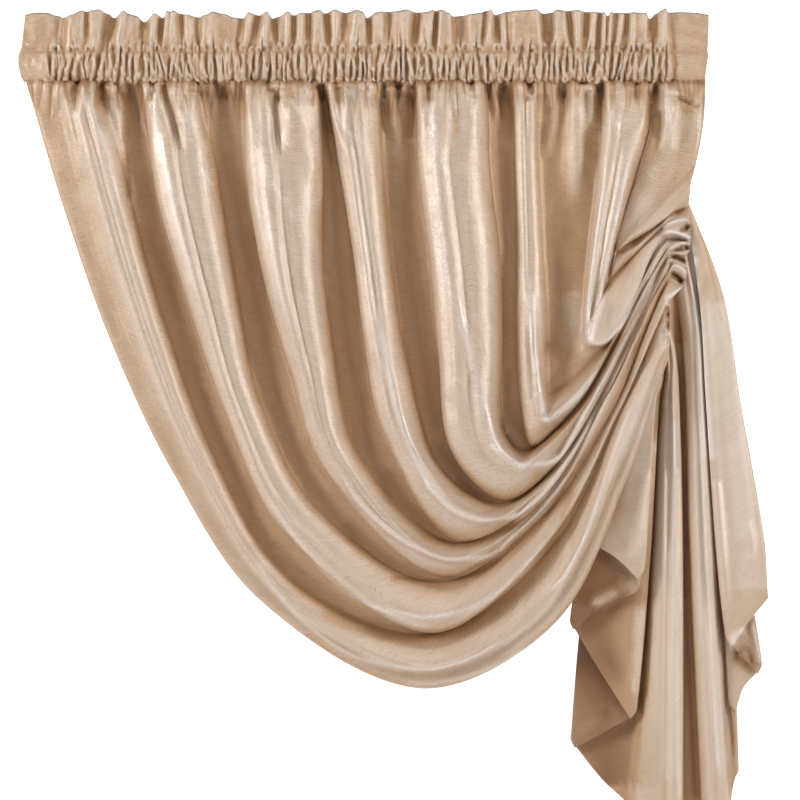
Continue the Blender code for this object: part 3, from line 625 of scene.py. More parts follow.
# Painted shade and painted light as the swag's, with the forward values between which a line
# counts where layers overlap
TAIL_PAINTED_SHADE = (
    (-0.5, 24, -8, 30, (722, 300, 735, 400, 745, 500, 750, 590)),
    (2.2, 11, -16, -4, (640, 574, 618, 566, 598, 560, 584, 582)),
    (1.0, 9, -16, -4, (618, 574, 594, 588, 577, 604)),
    (0.7, 9, -24, -12.5, (642, 588, 622, 606, 600, 620, 574, 640)),
    (0.3, 14, -24, -12.5, (600, 636, 612, 660, 624, 684)),
    (0.8, 9, -34, -22, (584, 650, 600, 668, 616, 688, 638, 712)),
    (0.4, 10, -34, -22, (578, 660, 590, 690, 606, 706)),
    (0.6, 7, -45, -33, (642, 722, 620, 734, 596, 744, 572, 758)),
    (0.9, 4, -45, -18, (682, 300, 683, 345, 683, 400, 685, 500, 687, 600, 692, 700, 697, 800)),
    (0.9, 4, -45, -16, (663, 375, 657, 450, 654, 500, 650, 560, 648, 640, 643, 715)),
    (1.0, 5, -20, 3, (734, 655, 745, 662, 757, 668)),
    (0.25, 1.6, -45, 20, (697, 265, 700, 300, 706, 400, 712, 500, 720, 600, 729, 646)),
    (0.4, 1.4, -45, 20, (690, 200, 698, 222, 706, 250, 714, 285, 722, 325)),
    (0.9, 4.5, -45, -6, (674, 285, 679, 315, 682, 345)),
    (-0.5, 2.6, -45, 20, (691, 245, 694, 260, 698, 300, 700, 380, 702, 450, 706, 560, 709, 620,
                          713, 700, 720, 780)),
    (-0.5, 3, -45, 20, (672, 400, 674, 480, 676, 560, 676, 640, 677, 720, 680, 800)),
    (1.15, 34, -50, -6, (596, 560, 596, 640, 600, 720, 606, 790)),
    (0.8, 8, -14, -5, (588, 606, 606, 600, 624, 590)),
    (-0.4, 8, -45, 20, (669, 420, 668, 520, 668, 640, 670, 780)),
    (-0.4, 8, -45, 20, (698, 420, 702, 540, 711, 660, 722, 770)),
    (1.0, 13, -36, -20, (574, 646, 600, 672, 624, 700)),
    (-1.3, 4, (689, 232, 692, 253, 696, 300, 702, 346, 706, 400, 711, 460)),
    (-0.25, 20, (716, 300, 731, 420, 744, 540)),
    (0.3, 12, -20, 3, (612, 480, 606, 515, 604, 545)),
    (-0.4, 4, -20, 20, (648, 440, 645, 500, 641, 545)),
    (-0.5, 3, -24, 20, (639, 605, 637, 650, 634, 695)),
    (-0.4, 4, -24, 20, (582, 612, 592, 606, 604, 600)),
    (-0.4, 5, -45, 20, (575, 735, 585, 728, 596, 722)),
    (-0.9, 3.0, -45, 20, (731, 646, 734, 637, 744, 628)),
    (-0.6, 3.0, -20, 20, (750, 622, 756, 642, 762, 664)),
    (-0.4, 3, -45, 20, (708, 300, 714, 380, 720, 470, 727, 560)),
)
# The cascade's mesh: rows down each span of a fold line, columns between two lines and round a fold
TAIL_ROWS = (26, 30, 36, 30, 8)
TAIL_SPAN_COLUMNS = 9
FOLD_STEPS = 4
# How far down its lines' places lie, and how much of their way forward they have there
UPPER_DOWN = 600.0
LOWER_DOWN = 825.0
LOWER_SHARE = 0.7
SHOULDER_FORWARD = 0.6
UPPER_FORWARD = 0.9
# At the seam the layers are pressed together and tucked behind the swag's edge
SEAM_FORWARD = 0.0
SEAM_SQUEEZE = 0.22
SEAM_LAP = 9.0
FOREMOST = 4.0
# The tail's folded edges are rounded off at the hem
CORNER_DROP = 14.0
CORNER_ROUND = 7.0
INWARD = {"right": -1, "left": 1, None: 0}

# Lines of creases and of painted shade: points in each span, how far they are worked out in half
# widths, a shade line's fade at its ends in steps and at its forward values in millimetres, and
# the usual values
STROKE_ROWS = 6
STROKE_REACH = 2.6
DEPTH_FADE = 4
DEPTH_EDGE = 3.0
ANY_DEPTH = (-90, 90)

# Shade painted into the folds: how many columns and rows each way it looks over, and its full depth
HOLLOW_ALONG = 3
HEADING_FOLD = (5, 5.0)
SWAG_FOLD = (9, 16.0)
TAIL_FOLD = (16, 16.0)

# Bumps of the cloth, in layers: their size, their height and their seed, and how many to a repeat
HEADING_BUMPS = ((13.0, 0.8, 6), (6.0, 0.5, 7))
SWAG_BUMPS = ((34.0, 1.3, 3), (15.0, 0.5, 4))
TAIL_BUMPS = ((40.0, 1.4, 12),)
BUMP_CELLS = 128
# The least gap between neighbouring lines that would cross, in steps
HAIR = 1e-4

# Sheen of the cloth, the same all over it
SHEEN = {
    "Metallic": 0.18,
    "IOR": 1.6,
    "Specular IOR Level": 1.0,
    "Specular Tint": (0.9, 0.96, 1.0, 1.0),
    "Sheen Weight": 0.12,
    "Sheen Roughness": 0.4,
    "Sheen Tint": (1.0, 0.93, 0.84, 1.0),
}

# Noises of the cloth: repeats to a metre along its weft and along its warp, detail and roughness
NOISES = {
    "slubs": (22.0, 420.0, 2.0, 0.6),
    "streaks": (40.0, 480.0, 3.0, 0.65),
    "warps": (330.0, 14.0, 2.0, 0.6),
    "threads": (700.0, 900.0, 1.0, 0.5),
    "mottle": (22.0, 30.0, 4.0, 0.6),
    "crumple": (60.0, 95.0, 3.0, 0.6),
}
# The weft isn't straight: its noise, how far it bends in metres, and the noises that follow it
BEND = (4.0, 4.0, 1.0, 0.5)
BENT_BY = 0.0009
BENT = ("slubs", "streaks")
SLUBS_FROM = 0.02
SLUBS_SHARP = 5.0

# How far each part of the surface moves the cloth's tone, its weave, its relief and its roughness.
# In the tone, the painted shade of the folds darkens the cloth, and lightens it below zero
TONE = {"hollow": -1.5, "streaks": 0.4, "mottle": 0.45, "hem_edge": -0.35, "stitch": 0.2}
WEAVE = {"streaks": 0.5, "slubs": -0.05, "threads": 0.4, "warps": 0.15}
RELIEF = {
    "streaks": 0.5, "slubs": 0.12, "threads": 0.4, "warps": 0.35, "crumple": 0.9, "pucker": 4.0,
    "doubled": 0.6, "stitch": 0.4,
}
ROUGHNESS = {
    "hollow": 0.07, "streaks": 0.3, "slubs": -0.04, "mottle": 0.2, "threads": 0.35, "warps": 0.1,
}
OPEN_TONE = 1.3
OPEN_PAINTED_SHADE = 0.4
CREST_STREAKS = 0.12
RELIEF_STRENGTH = 0.6
WRONG_SLUBS = 0.6
TAIL_SLUBS = 0.45
TAIL_DULLER = 0.08

# The turned-up hem, in metres: width of its shaded edge, its row of stitches in from that edge, the
# row's width, the stitches' wave in radians to a metre and the level over which it is thread, the
# step up to the doubled cloth, and a distance beyond any hem, for a sheet without one
HEM_EDGE = 0.0012
HEM_ROW = 0.003
HEM_ROW_WIDTH = 0.0006
HEM_STITCHES = 2100.0
HEM_THREAD = -0.3
HEM_STEP = 0.001
NO_HEM = 1.0

# Puckers just under the heading's lower stitch: how far down they reach in metres and how unevenly,
# the noises of their reach and of their folds, how soon they fade, how far above the stitch they
# begin and how soon they are full in metres, how sharp their crests are, how wide and steep the
# painted shade in their slits is, and how dark it is
PUCKER_REACH = 0.05
PUCKER_UNEVEN = 0.1
PUCKER_REACHES = (45.0, 2.0, 1.0, 0.5)
PUCKER_FOLDS = (62.0, 9.0, 1.0, 0.5)
PUCKER_FADE = 1.8
PUCKER_LAP = 0.002
PUCKER_START = 0.0025
PUCKER_CREST = 4.0
PUCKER_SLIT = (0.95, 8.0)
SLIT_PAINTED_SHADE = 1.1

# The stage, in metres
BACKDROP = ((-22.0, -1.5), (21.0, -1.5), (21.5, -1.4), (21.9, -1.1), (22.0, -0.6), (22.0, 40.0))
BACKDROP_SIDES = (-55.0, 55.0)
BACKDROP_WHITE = (0.9, 0.9, 0.9, 1.0)
BACKDROP_ROUGHNESS = 0.9
WALL_FROM = 0.2
WALL_FADE = 1.1
DAYLIGHT = (0.985, 0.99, 1.0)
# Softboxes: name, place, what they face, size, and the setting of their power
SOFTBOXES = (
    ("left_softbox", (-3.3, -1.7, 0.5), (0.05, 0.0, -0.45), (0.8, 1.5), "key"),
    ("right_softbox", (3.2, -1.8, 0.5), (0.05, 0.0, -0.45), (0.8, 1.5), "fill"),
    ("top_softbox", (0.0, -1.7, 2.3), (0.0, 0.0, -0.6), (2.4, 0.5), "top"),
)
STUDIO_COLOUR = (1.0, 0.99, 0.97, 1.0)
STUDIO_GLOW = 0.03
CAMERA_AT = (0.054, -8.0, -0.5)
CAMERA_LENS = 240.0
CAMERA_SENSOR = 36.0
CAMERA_SEES = 100.0


def place(points):
    """Table places (right, down, forward) as points of the part, in metres."""
    right, down, forward = points[..., 0], points[..., 1], points[..., 2]
    return np.stack(((right - ROD_RIGHT) * MM, -forward * MM, (ROD_DOWN - down) * MM), axis=-1)


def mix(a, b, share):
    return a + (b - a) * share


def ease(value):
    value = np.clip(value, 0.0, 1.0)
    return value * value * (3 - 2 * value)


def smooth_run(points, rows):
    """Points on a smooth curve through the given ones, with so many rows in each span."""
    points = np.asarray(points, dtype=float)
    last = len(points) - 1
    run = []
    for i, count in enumerate(rows):
        before, here, there, after = (points[min(max(i + k, 0), last)] for k in (-1, 0, 1, 2))
        size = np.linalg.norm(there - here) + 1e-9
        starts = (there - before) * size / (np.linalg.norm(here - before) + size)
        ends = (after - here) * size / (size + np.linalg.norm(after - there))
        s = (np.arange(count) / count)[:, None]
        run.append(
            here * (2 * s**3 - 3 * s**2 + 1) + starts * (s**3 - 2 * s**2 + s)
            + there * (3 * s**2 - 2 * s**3) + ends * (s**3 - s**2)
        )
    run.append(points[-1:])
    return np.concatenate(run)


def between(values, knots, heights):
    """A smooth wave through the knots, level at each of them."""
    knots = np.asarray(knots, dtype=float)
    heights = np.asarray(heights, dtype=float)
    i = np.clip(np.searchsorted(knots, values, side="right") - 1, 0, len(knots) - 2)
    share = np.clip((values - knots[i]) / (knots[i + 1] - knots[i]), 0.0, 1.0)
    return mix(heights[i], heights[i + 1], ease(share))


def in_order(lines):
    """Lines from left to right that don't cross, each a hair beyond the one before."""
    return np.maximum.accumulate(lines) + np.arange(len(lines)) * HAIR


def unevenness(right, down, size, seed):
    """Smooth random bumps from -1 to 1 over the cloth, about the given size in millimetres."""
    knots = np.random.default_rng(seed).uniform(-1.0, 1.0, (BUMP_CELLS, BUMP_CELLS))
    u, v = right / size, down / size
    i, j = np.floor(u).astype(int), np.floor(v).astype(int)
    s, t = ease(u - i), ease(v - j)
    corner = [[knots[(i + a) % BUMP_CELLS, (j + b) % BUMP_CELLS] for b in (0, 1)] for a in (0, 1)]
    return mix(mix(corner[0][0], corner[1][0], s), mix(corner[0][1], corner[1][1], s), t)


def bumps(right, down, layers):
    """Layers of uneven bumps over the cloth, in millimetres."""
    return sum(unevenness(right, down, size, seed) * height for size, height, seed in layers)


def blurred(values, reach, axis):
    """A grid's values averaged along one axis, over reach neighbours each way."""
    pad = [(0, 0), (0, 0)]
    pad[axis] = (reach + 1, reach)
    sums = np.cumsum(np.pad(values, pad, mode="edge"), axis=axis)
    size = 2 * reach + 1
    length = values.shape[axis]
    upper = np.take(sums, np.arange(size, size + length), axis=axis)
    return (upper - np.take(sums, np.arange(length), axis=axis)) / size


def hollows(points, reach, depth):
    """How deep each point lies in a fold, kept as painted shade: 0 on open cloth, 1 at the bottom
    of the most deeply set folds.
    """
    forward = points[..., 2]
    around = forward
    for axis, width in ((1, reach), (0, HOLLOW_ALONG), (1, reach)):
        around = blurred(around, width, axis)
    return ease((around - forward) / depth * 0.5 + 0.5)


def arc_lengths(points, axis):
    """Length along a grid's rows or columns up to each point, in metres."""
    steps = np.linalg.norm(np.diff(points, axis=axis), axis=-1) * MM
    pad = [(0, 0), (0, 0)]
    pad[axis] = (1, 0)
    return np.pad(np.cumsum(steps, axis=axis), pad)


def stroke(points, width, fade_in, fade_out, line):
    """Which points lie near a line, and how strongly: 1 on it, fading at its sides and ends."""
    flat = points[..., :2] / STEP
    line = np.reshape(line, (-1, 2))
    path = smooth_run(line, [STROKE_ROWS] * (len(line) - 1))
    low, high = path.min(axis=0) - STROKE_REACH * width, path.max(axis=0) + STROKE_REACH * width
    near = np.all((flat > low) & (flat < high), axis=-1)
    spots = flat[near][:, None, :]
    starts, spans = path[:-1], np.diff(path, axis=0)
    sizes = np.linalg.norm(spans, axis=1)
    share = np.clip(((spots - starts) * spans).sum(axis=-1) / sizes**2, 0.0, 1.0)
    away = np.linalg.norm(spots - (starts + share[..., None] * spans), axis=-1)
    nearest = away.argmin(axis=1)
    rows = np.arange(len(nearest))
    along = (np.cumsum(sizes) - sizes)[nearest] + share[rows, nearest] * sizes[nearest]
    fade = ease((along + 1) / (fade_in + 1)) * ease((sizes.sum() - along + 1) / (fade_out + 1))
    return near, np.exp(-((away[rows, nearest] / width) ** 2)) * fade


def press(points, creases):
    """Press tucks and creases into a grid of points, each a soft trough or ridge along its line."""
    for height, width, fade_in, fade_out, line, *_ in creases:
        near, strength = stroke(points, width, fade_in, fade_out, line)
        points[near, 2] += height * strength


def paint_shade(points, shade, shade_lines, crests):
    """Paint shade along lines deep in the cloth's folds, or light where the amount is below zero,
    and paint highlights along its crests.
    """
    for amount, width, *window, line in shade_lines:
        near, strength = stroke(points, width, DEPTH_FADE, DEPTH_FADE, line)
        forward = points[near, 2]
        back, front = window or ANY_DEPTH
        darker = amount * strength * ease((forward - back) / DEPTH_EDGE)
        shade[near] += darker * ease((front - forward) / DEPTH_EDGE)
    for _, width, fade_in, fade_out, line, light in crests:
        near, strength = stroke(points, width, fade_in, fade_out, line)
        shade[near] -= light * strength
    return np.clip(shade, -1.0, 2.0)


# Heading


def ruche_knots(seed, pitch, lean_share=1.0):
    """Fine ruches: where each crest and slit lies, and how high it is, at the two stitches."""
    rng = np.random.default_rng(seed)
    rows = [*FLAT_LEFT]
    right, side = RUCHES_FROM, 1.0
    while right < RUCHES_TO:
        width = pitch / STEP * rng.uniform(*RUCHE_WIDTHS)
        lean = side * rng.uniform(*RUCHE_LEANS) * width
        side = side if rng.random() < SAME_LEAN else -side
        crest = rng.uniform(*RUCHE_CRESTS), rng.uniform(*RUCHE_CRESTS)
        rows.append((right - lean, right + lean, *crest))
        middle = right + width * 0.5
        rows.append((middle, middle, -rng.uniform(*RUCHE_SLITS), -rng.uniform(*RUCHE_SLITS)))
        right += width
    rows += FLAT_RIGHT
    top, low, high, deep = np.array(rows).T
    sway = unevenness(top, 0.0, SWAY_SIZE, seed + 50) * RUCHE_SWAY * lean_share
    ends = ease((top - SWAY_FROM) / SWAY_FADE) * ease((SWAY_TO - top) / SWAY_FADE)
    return in_order(top - sway * ends), in_order(low + sway * ends), high, deep


def ruches(knots, right, down):
    """How far the fine ruches stand out, from about -1 in a slit to 1 on a crest."""
    top, low, high, deep = knots
    share = float(np.clip((down - UPPER_STITCH) / (STITCH_DOWN - UPPER_STITCH), *PAST_STITCHES))
    bow = math.sin(math.pi * min(max(share, 0.0), 1.0)) * RUCHE_BOW
    lines = in_order(mix(top, low, share) + bow * unevenness(top, 0.0, BOW_SIZE, BOW_SEED))
    wave = between(right / STEP, lines, mix(high, deep, ease(share)))
    return 2.0 * np.clip(wave * 0.5 + 0.5, 0.0, 1.1) ** RUCHE_ROUNDNESS - 1.0


def petals():
    """Tangled folds of the pocket: petals that hang from the upper stitch or stand on the lower."""
    rng = np.random.default_rng(PETAL_SEED)
    creases = []
    right, hangs = PETALS_FROM, True
    while right < PETALS_TO:
        wide, lean = rng.uniform(*PETAL_WIDTHS), rng.uniform(*PETAL_LEANS)
        root, *tips = PETAL_HANGS if hangs else PETAL_STANDS
        tip = rng.uniform(*tips)
        waist = mix(root, tip, rng.uniform(*PETAL_WAISTS))
        rim = (right - wide, root, right - wide * 0.8 + lean * 0.3, waist, right + lean, tip,
               right + wide * 0.8 + lean * 0.3, waist, right + wide, root)
        creases.append((rng.uniform(*PETAL_RIMS), 1.0, 2, 2, rim, RIM_LIGHT))
        slit = (right + lean * 0.2, mix(root, tip, 0.2), right + lean * 0.8, mix(root, tip, 0.85))
        creases.append((-rng.uniform(*PETAL_SLITS), 1.2, 3, 1, slit, SLIT_LIGHT))
        hangs = not hangs if rng.random() < PETAL_TURNS_OVER else hangs
        right += rng.uniform(*PETAL_PITCHES)
    return creases


def loops(knots):
    """Small loops where the ruches end: arches over the upper stitch, cups under the lower one."""
    rng = np.random.default_rng(LOOP_SEED)
    creases = []
    for top, low, high, deep in np.array(knots).T[2:-2]:
        for height, right, (foot, up) in ((high, top, ARCHES), (deep, low, CUPS)):
            if height < 0.0 or rng.random() > LOOP_SHARE:
                continue
            wide, tall = rng.uniform(*LOOP_WIDTHS), rng.uniform(*LOOP_HEIGHTS) * up
            foot += rng.uniform(-1.0, 1.0)
            rim = (right - wide, foot, right - wide * 0.75, foot + tall * 0.75, right, foot + tall,
                   right + wide * 0.75, foot + tall * 0.75, right + wide, foot)
            creases.append((rng.uniform(*LOOP_RIMS), 1.2, 1, 1, rim, RIM_LIGHT))
            slit = (right, foot + tall * 0.45, right, foot - up * 1.5)
            creases.append((-rng.uniform(*LOOP_SLITS), 1.2, 1, 1, slit, SLIT_LIGHT))
    return creases


def frill_wave(right, down):
    """How far the frill's folds stand out, and how far down its top edge lies."""
    top, foot, forward, edge = np.array(FRILL, dtype=float).T
    share = np.clip((down - FRILL_TOP) / (UPPER_STITCH - FRILL_TOP), 0.0, 1.0)
    return between(right / STEP, mix(top, foot, share), forward), between(right / STEP, top, edge)


def heading_rows(side, knots, depth, row_share):
    """Rows of the folded strip from the lower stitch up to the top fold."""
    steps = [dict(zip(HEADING_COLUMN_NAMES, row)) for row in HEADING_PROFILE]
    rows = [max(1, round(step["rows"] * row_share)) for step in steps[:-1]]
    keys = ("down", "forward", "ruche", "frill", "left", "right")
    along = smooth_run([[step[key] for key in keys] for step in steps], rows)
    share = np.linspace(0.0, 1.0, HEADING_COLUMNS + 1)
    flat = ease(np.minimum(share, 1 - share) * (HEADING_RIGHT - HEADING_LEFT) / FLAT_END)
    grid = []
    for down, forward, ruche, frill, left, right in along:
        across = mix(left, right, share)
        fold, top_edge = frill_wave(across, down)
        wave = ruches(knots, across, down) * depth * ruche + fold * frill
        lift = np.clip((FRILL_FOOT - down) / (FRILL_FOOT - FRILL_TOP), 0.0, 1.0)
        low = np.clip((down - SCALLOP_FROM) / (STITCH_DOWN - SCALLOP_FROM), 0.0, 1.0)
        foot = np.exp(-((down - UPPER_STITCH) / ARCH_FADE) ** 2)
        lowered = down + (top_edge * STEP - FRILL_TOP) * lift
        lowered = lowered + SCALLOP * low * (ruches(knots, across, STITCH_DOWN) + 0.3)
        lowered = lowered + SAG * low * flat * (unevenness(across, 0.0, SAG_SIZE, SAG_SEED) + 0.4)
        lowered = lowered + ARCH * foot * ruches(knots, across, UPPER_STITCH)
        rough = bumps(across, lowered, HEADING_BUMPS)
        out = side * forward * mix(END_FORWARD, 1.0, flat) + wave * mix(END_WAVE, 1.0, flat) + rough
        grid.append(np.stack((across, lowered, out), axis=-1))
    return np.array(grid)


def heading_grid(knots, back_knots, depth, creases):
    """The strip from its lower stitch behind, over the top fold, down to the one in front."""
    back = heading_rows(-1, back_knots, depth, BACK_ROWS_SHARE)
    front = heading_rows(1, knots, depth, 1.0)
    press(front, creases)
    return np.concatenate((back, front[::-1][1:]))


# Swag


def fold_line_points(row):
    """The stations of one fold line of the swag, as right and down."""
    line = dict(zip(FOLD_COLUMNS, row))
    names = ("top", "q1", "q2", "q3")
    leg = [(line[name], mix(SWAG_TOP, line["corner"][1], i / 4)) for i, name in enumerate(names)]
    neck = NECK_DROP / (leg[1][1] - leg[0][1])
    leg.insert(1, (mix(line["top"], line["q1"], neck), SWAG_TOP + NECK_DROP))
    return leg + [line[name] for name in FOLD_COLUMNS[5:]]


def band_shape(section, columns):
    """A section's places and heights, with the given number of columns over its whole width."""
    table = np.array(SECTIONS[section])
    spans = [columns // (len(table) - 1)] * (len(table) - 1)
    # Columns left over go to spans well apart
    for extra in range(columns - sum(spans)):
        spans[(extra * 7 + 3) % len(spans)] += 1
    return smooth_run(table, spans)


def swag_bands(counts, fold_share):
    """The bands of cloth between the swag's fold lines, side by side in one grid."""
    lines = np.array([smooth_run(fold_line_points(line), counts) for line in FOLD_LINES])
    along = smooth_run([station[1:5] for station in STATIONS], counts)
    ridge, floor, turned, merged = along[:, 0:1], along[:, 1:2], along[:, 2:3], along[:, 3:4]
    bands = []
    for i, (section, share, columns, like, calm_out, calm_in) in enumerate(BANDS):
        shape = band_shape(section, columns)
        if i < len(BANDS) - 1:
            shape = shape[:-1]
        outer, inner = lines[i][:, None, :], lines[i + 1][:, None, :]
        across = mix(shape[:, 0], shape[:, 2], turned)
        height = mix(shape[:, 1], shape[:, 3], turned)
        opening = ease(across * CALM_OPENS) if calm_out < calm_in else across
        calm = np.clip(mix(calm_out, calm_in, opening), 0.0, 1.0)
        height = mix(height, CALM_LEVEL, calm * merged)
        width = np.linalg.norm(lines[like + 1] - lines[like], axis=-1)[:, None]
        tallest = np.minimum(ridge * fold_share, STEEPEST * width) * share
        flat = mix(outer, inner, across[..., None])
        bands.append(np.concatenate((flat, (floor + tallest * height)[..., None]), axis=-1))
    return np.concatenate(bands, axis=1)


def swag_grid(knots, depth, gather_knots, gather_depth, fold_share):
    """Rows across the swag, from the stitch under the heading round to the shirred seam."""
    counts = [station[5] for station in STATIONS[:-1]]
    grid = swag_bands(counts, fold_share)
    right, down = grid[..., 0], grid[..., 1]
    press(grid, SWAG_CREASES + SWAG_CRESTS_AND_HIGHLIGHTS)
    grid[..., 2] += bumps(right, down, SWAG_BUMPS)
    free = ease((down - SWAG_TOP) / EMERGE)
    stitched = STITCHED_FORWARD + ruches(knots, right, STITCH_DOWN) * depth * 0.5
    gathers = ruches(gather_knots, right, STITCH_DOWN) * ease((down - SWAG_TOP) / GATHER_START)
    fading = np.exp(-((down - STITCH_DOWN - GATHER_FULLEST) / GATHER_FADE) ** 2)
    gathers = gathers * fading * gather_depth
    on_leg = np.arange(grid.shape[0])[:, None] < sum(counts[:LEG_SPANS])
    grid[..., 2] = np.where(on_leg, mix(stitched, grid[..., 2], free), grid[..., 2]) + gathers
    proud = np.maximum(grid[..., 2] - FRONT, 0.0)
    grid[..., 2] -= proud - FRONT_EASE * (1.0 - np.exp(-proud / FRONT_EASE))
    return grid


# Cascade


def tail_run(line):
    """The points of one fold line of the cascade, from the shirred seam down to the hem."""
    (top_right, top_down), (hem_right, hem_down) = line["top"], line["hem"]
    forward = line["forward"]
    start = SEAM_FORWARD + SEAM_SQUEEZE * (forward - FOREMOST)
    lower = (line["lower"], min(LOWER_DOWN, mix(UPPER_DOWN, hem_down, LOWER_SHARE)))
    share = 1.0 - CORNER_DROP / (hem_down - lower[1])
    points = [
        (top_right - SEAM_LAP, top_down, start),
        (line["shoulder"], mix(top_down, UPPER_DOWN, 0.5), mix(start, forward, SHOULDER_FORWARD)),
        (line["upper"], UPPER_DOWN, mix(start, forward, UPPER_FORWARD)),
        (*lower, forward),
        (mix(lower[0], hem_right, share), mix(lower[1], hem_down, share), forward),
        (hem_right + INWARD[line["turn"]] * CORNER_ROUND, hem_down, forward),
    ]
    return smooth_run(points, TAIL_ROWS)


def rounded_fold(line, before, run, opening, radius):
    """Columns of cloth round one fold edge, between the layers on its two sides."""
    rise = 1 if line["forward"] > before["forward"] else -1
    for k in range(1, FOLD_STEPS):
        angle = math.pi * (k / FOLD_STEPS - 0.5)
        edge = run.copy()
        edge[:, 0] += INWARD[line["turn"]] * radius * (1 - math.cos(angle)) * opening
        edge[:, 2] += rise * radius * math.sin(angle) * opening
        yield edge[None]


def tail_grid(radius):
    """The cascade's layers between its fold edges, each smooth across, joined by rounded folds."""
    lines = [dict(zip(TAIL_COLUMNS, row)) for row in TAIL_LINES]
    runs = np.array([tail_run(line) for line in lines])
    opening = np.linspace(0.0, 1.0, runs.shape[1])
    turns = [i for i, line in enumerate(lines) if line["turn"]]
    ends = [0, *turns, len(lines) - 1]
    columns = []
    for first, last in zip(ends, ends[1:]):
        layer = runs[first:last + 1].copy()
        for side, i in ((0, first), (-1, last)):
            if not lines[i]["turn"]:
                continue
            rises = lines[i]["forward"] > lines[i - 1]["forward"]
            lift = (1 if (side == 0) == rises else -1) * radius
            layer[side, :, 0] += INWARD[lines[i]["turn"]] * radius * opening
            layer[side, :, 2] += lift * opening
        spans = [TAIL_SPAN_COLUMNS] * (last - first)
        flat = np.array([smooth_run(layer[:, k], spans) for k in range(layer.shape[1])])
        columns.append(flat.transpose(1, 0, 2))
        if last in turns:
            columns.extend(rounded_fold(lines[last], lines[last - 1], runs[last], opening, radius))
    grid = np.concatenate(columns).transpose(1, 0, 2).copy()
    press(grid, TAIL_CREASES)
    grid[..., 2] += bumps(grid[..., 0], grid[..., 1], TAIL_BUMPS)
    return grid


# Materials


class Shade:
    """A value, colour or vector in a material's node tree, with arithmetic for the values."""

    def __init__(self, tree, socket=None):
        self.tree = tree
        self.socket = socket

    def set(self, slot, value):
        """Link a value to a socket, or set it there where it is a plain number or colour."""
        if isinstance(value, Shade):
            self.tree.links.new(value.socket, slot)
        else:
            slot.default_value = value

    def node(self, kind, output, settings=None, **values):
        """Any other node: its type, its settings, then its socket values or links by name."""
        node = self.tree.nodes.new(kind)
        for name, value in (settings or {}).items():
            setattr(node, name, value)
        for name, value in values.items():
            slot = next(s for s in node.inputs if s.enabled and s.name.replace(" ", "_") == name)
            self.set(slot, value)
        return Shade(self.tree, next(s for s in node.outputs if s.enabled and s.name == output))

    def part(self, name):
        """Another output of the node that this value comes from."""
        return Shade(self.tree, self.socket.node.outputs[name])

    def math(self, operation, *values):
        node = self.tree.nodes.new("ShaderNodeMath")
        node.operation = operation
        for slot, value in zip(node.inputs, values):
            self.set(slot, value)
        return Shade(self.tree, node.outputs[0])

    def __add__(self, other):
        return self.math("ADD", self, other)

    def __radd__(self, other):
        return self.math("ADD", other, self)

    def __sub__(self, other):
        return self.math("SUBTRACT", self, other)

    def __rsub__(self, other):
        return self.math("SUBTRACT", other, self)

    def __mul__(self, other):
        return self.math("MULTIPLY", self, other)

    def __rmul__(self, other):
        return self.math("MULTIPLY", other, self)

    def __truediv__(self, other):
        return self.math("DIVIDE", self, other)

    def __rtruediv__(self, other):
        return self.math("DIVIDE", other, self)

    def __abs__(self):
        return self.math("ABSOLUTE", self)

    def clipped(self):
        return self.math("MAXIMUM", self.math("MINIMUM", self, 1.0), 0.0)

    def blend(self, low, high):
        """A colour mixed from two others by this value."""
        settings = {"data_type": "RGBA"}
        return self.node("ShaderNodeMix", "Result", settings, Factor=self, A=low, B=high)


def cloth_map(base, name):
    """The two values of one of the cloth's UV maps, in metres."""
    spot = base.node("ShaderNodeUVMap", "UV", {"uv_map": name})
    first = base.node("ShaderNodeSeparateXYZ", "X", Vector=spot)
    return first, first.part("Y")


def noise(across, along, look):
    """Noise from -0.5 to 0.5 over the cloth, with its repeats each way, detail and roughness."""
    across_repeats, along_repeats, detail, roughness = look
    point = across.node(
        "ShaderNodeCombineXYZ", "Vector", X=across * across_repeats, Y=along * along_repeats, Z=0.0,
    )
    return across.node(
        "ShaderNodeTexNoise", "Fac", {"noise_dimensions": "2D"},
        Vector=point, Scale=1.0, Detail=detail, Roughness=roughness,
    ) - 0.5


def weighed(parts, weights):
    """The sum of a surface's parts, each by its weight, of those that the surface has."""
    return sum(parts[name] * weight for name, weight in weights.items() if name in parts)


def hem_parts(base, width):
    """The turned-up hem on the wrong side: its doubled cloth, its fold edge and its stitches."""
    inside, beside = cloth_map(base, "hem")
    row = 1.0 - (abs(inside - width + HEM_ROW) / HEM_ROW_WIDTH).clipped()
    wave = base.math("SINE", beside * HEM_STITCHES)
    return {
        "doubled": ((width - inside) / HEM_STEP).clipped(),
        "hem_edge": 1.0 - (abs(inside - width) / HEM_EDGE).clipped(),
        "stitch": row * base.math("GREATER_THAN", wave, HEM_THREAD),
    }


def puckers(base):
    """Fine puckers just under the heading's lower stitch: their height, and the painted shade in
    their slits.
    """
    right, lowered = cloth_map(base, "place")
    down = lowered - STITCH_DOWN * MM
    reach = PUCKER_REACH + noise(right, down, PUCKER_REACHES) * PUCKER_UNEVEN
    near = (PUCKER_FADE - down / reach * PUCKER_FADE).clipped()
    near = near * ((down + PUCKER_LAP) / PUCKER_START).clipped()
    wave = abs(noise(right, down, PUCKER_FOLDS))
    widest, steepness = PUCKER_SLIT
    return (wave * PUCKER_CREST).clipped() * near, (widest - wave * steepness).clipped() * near


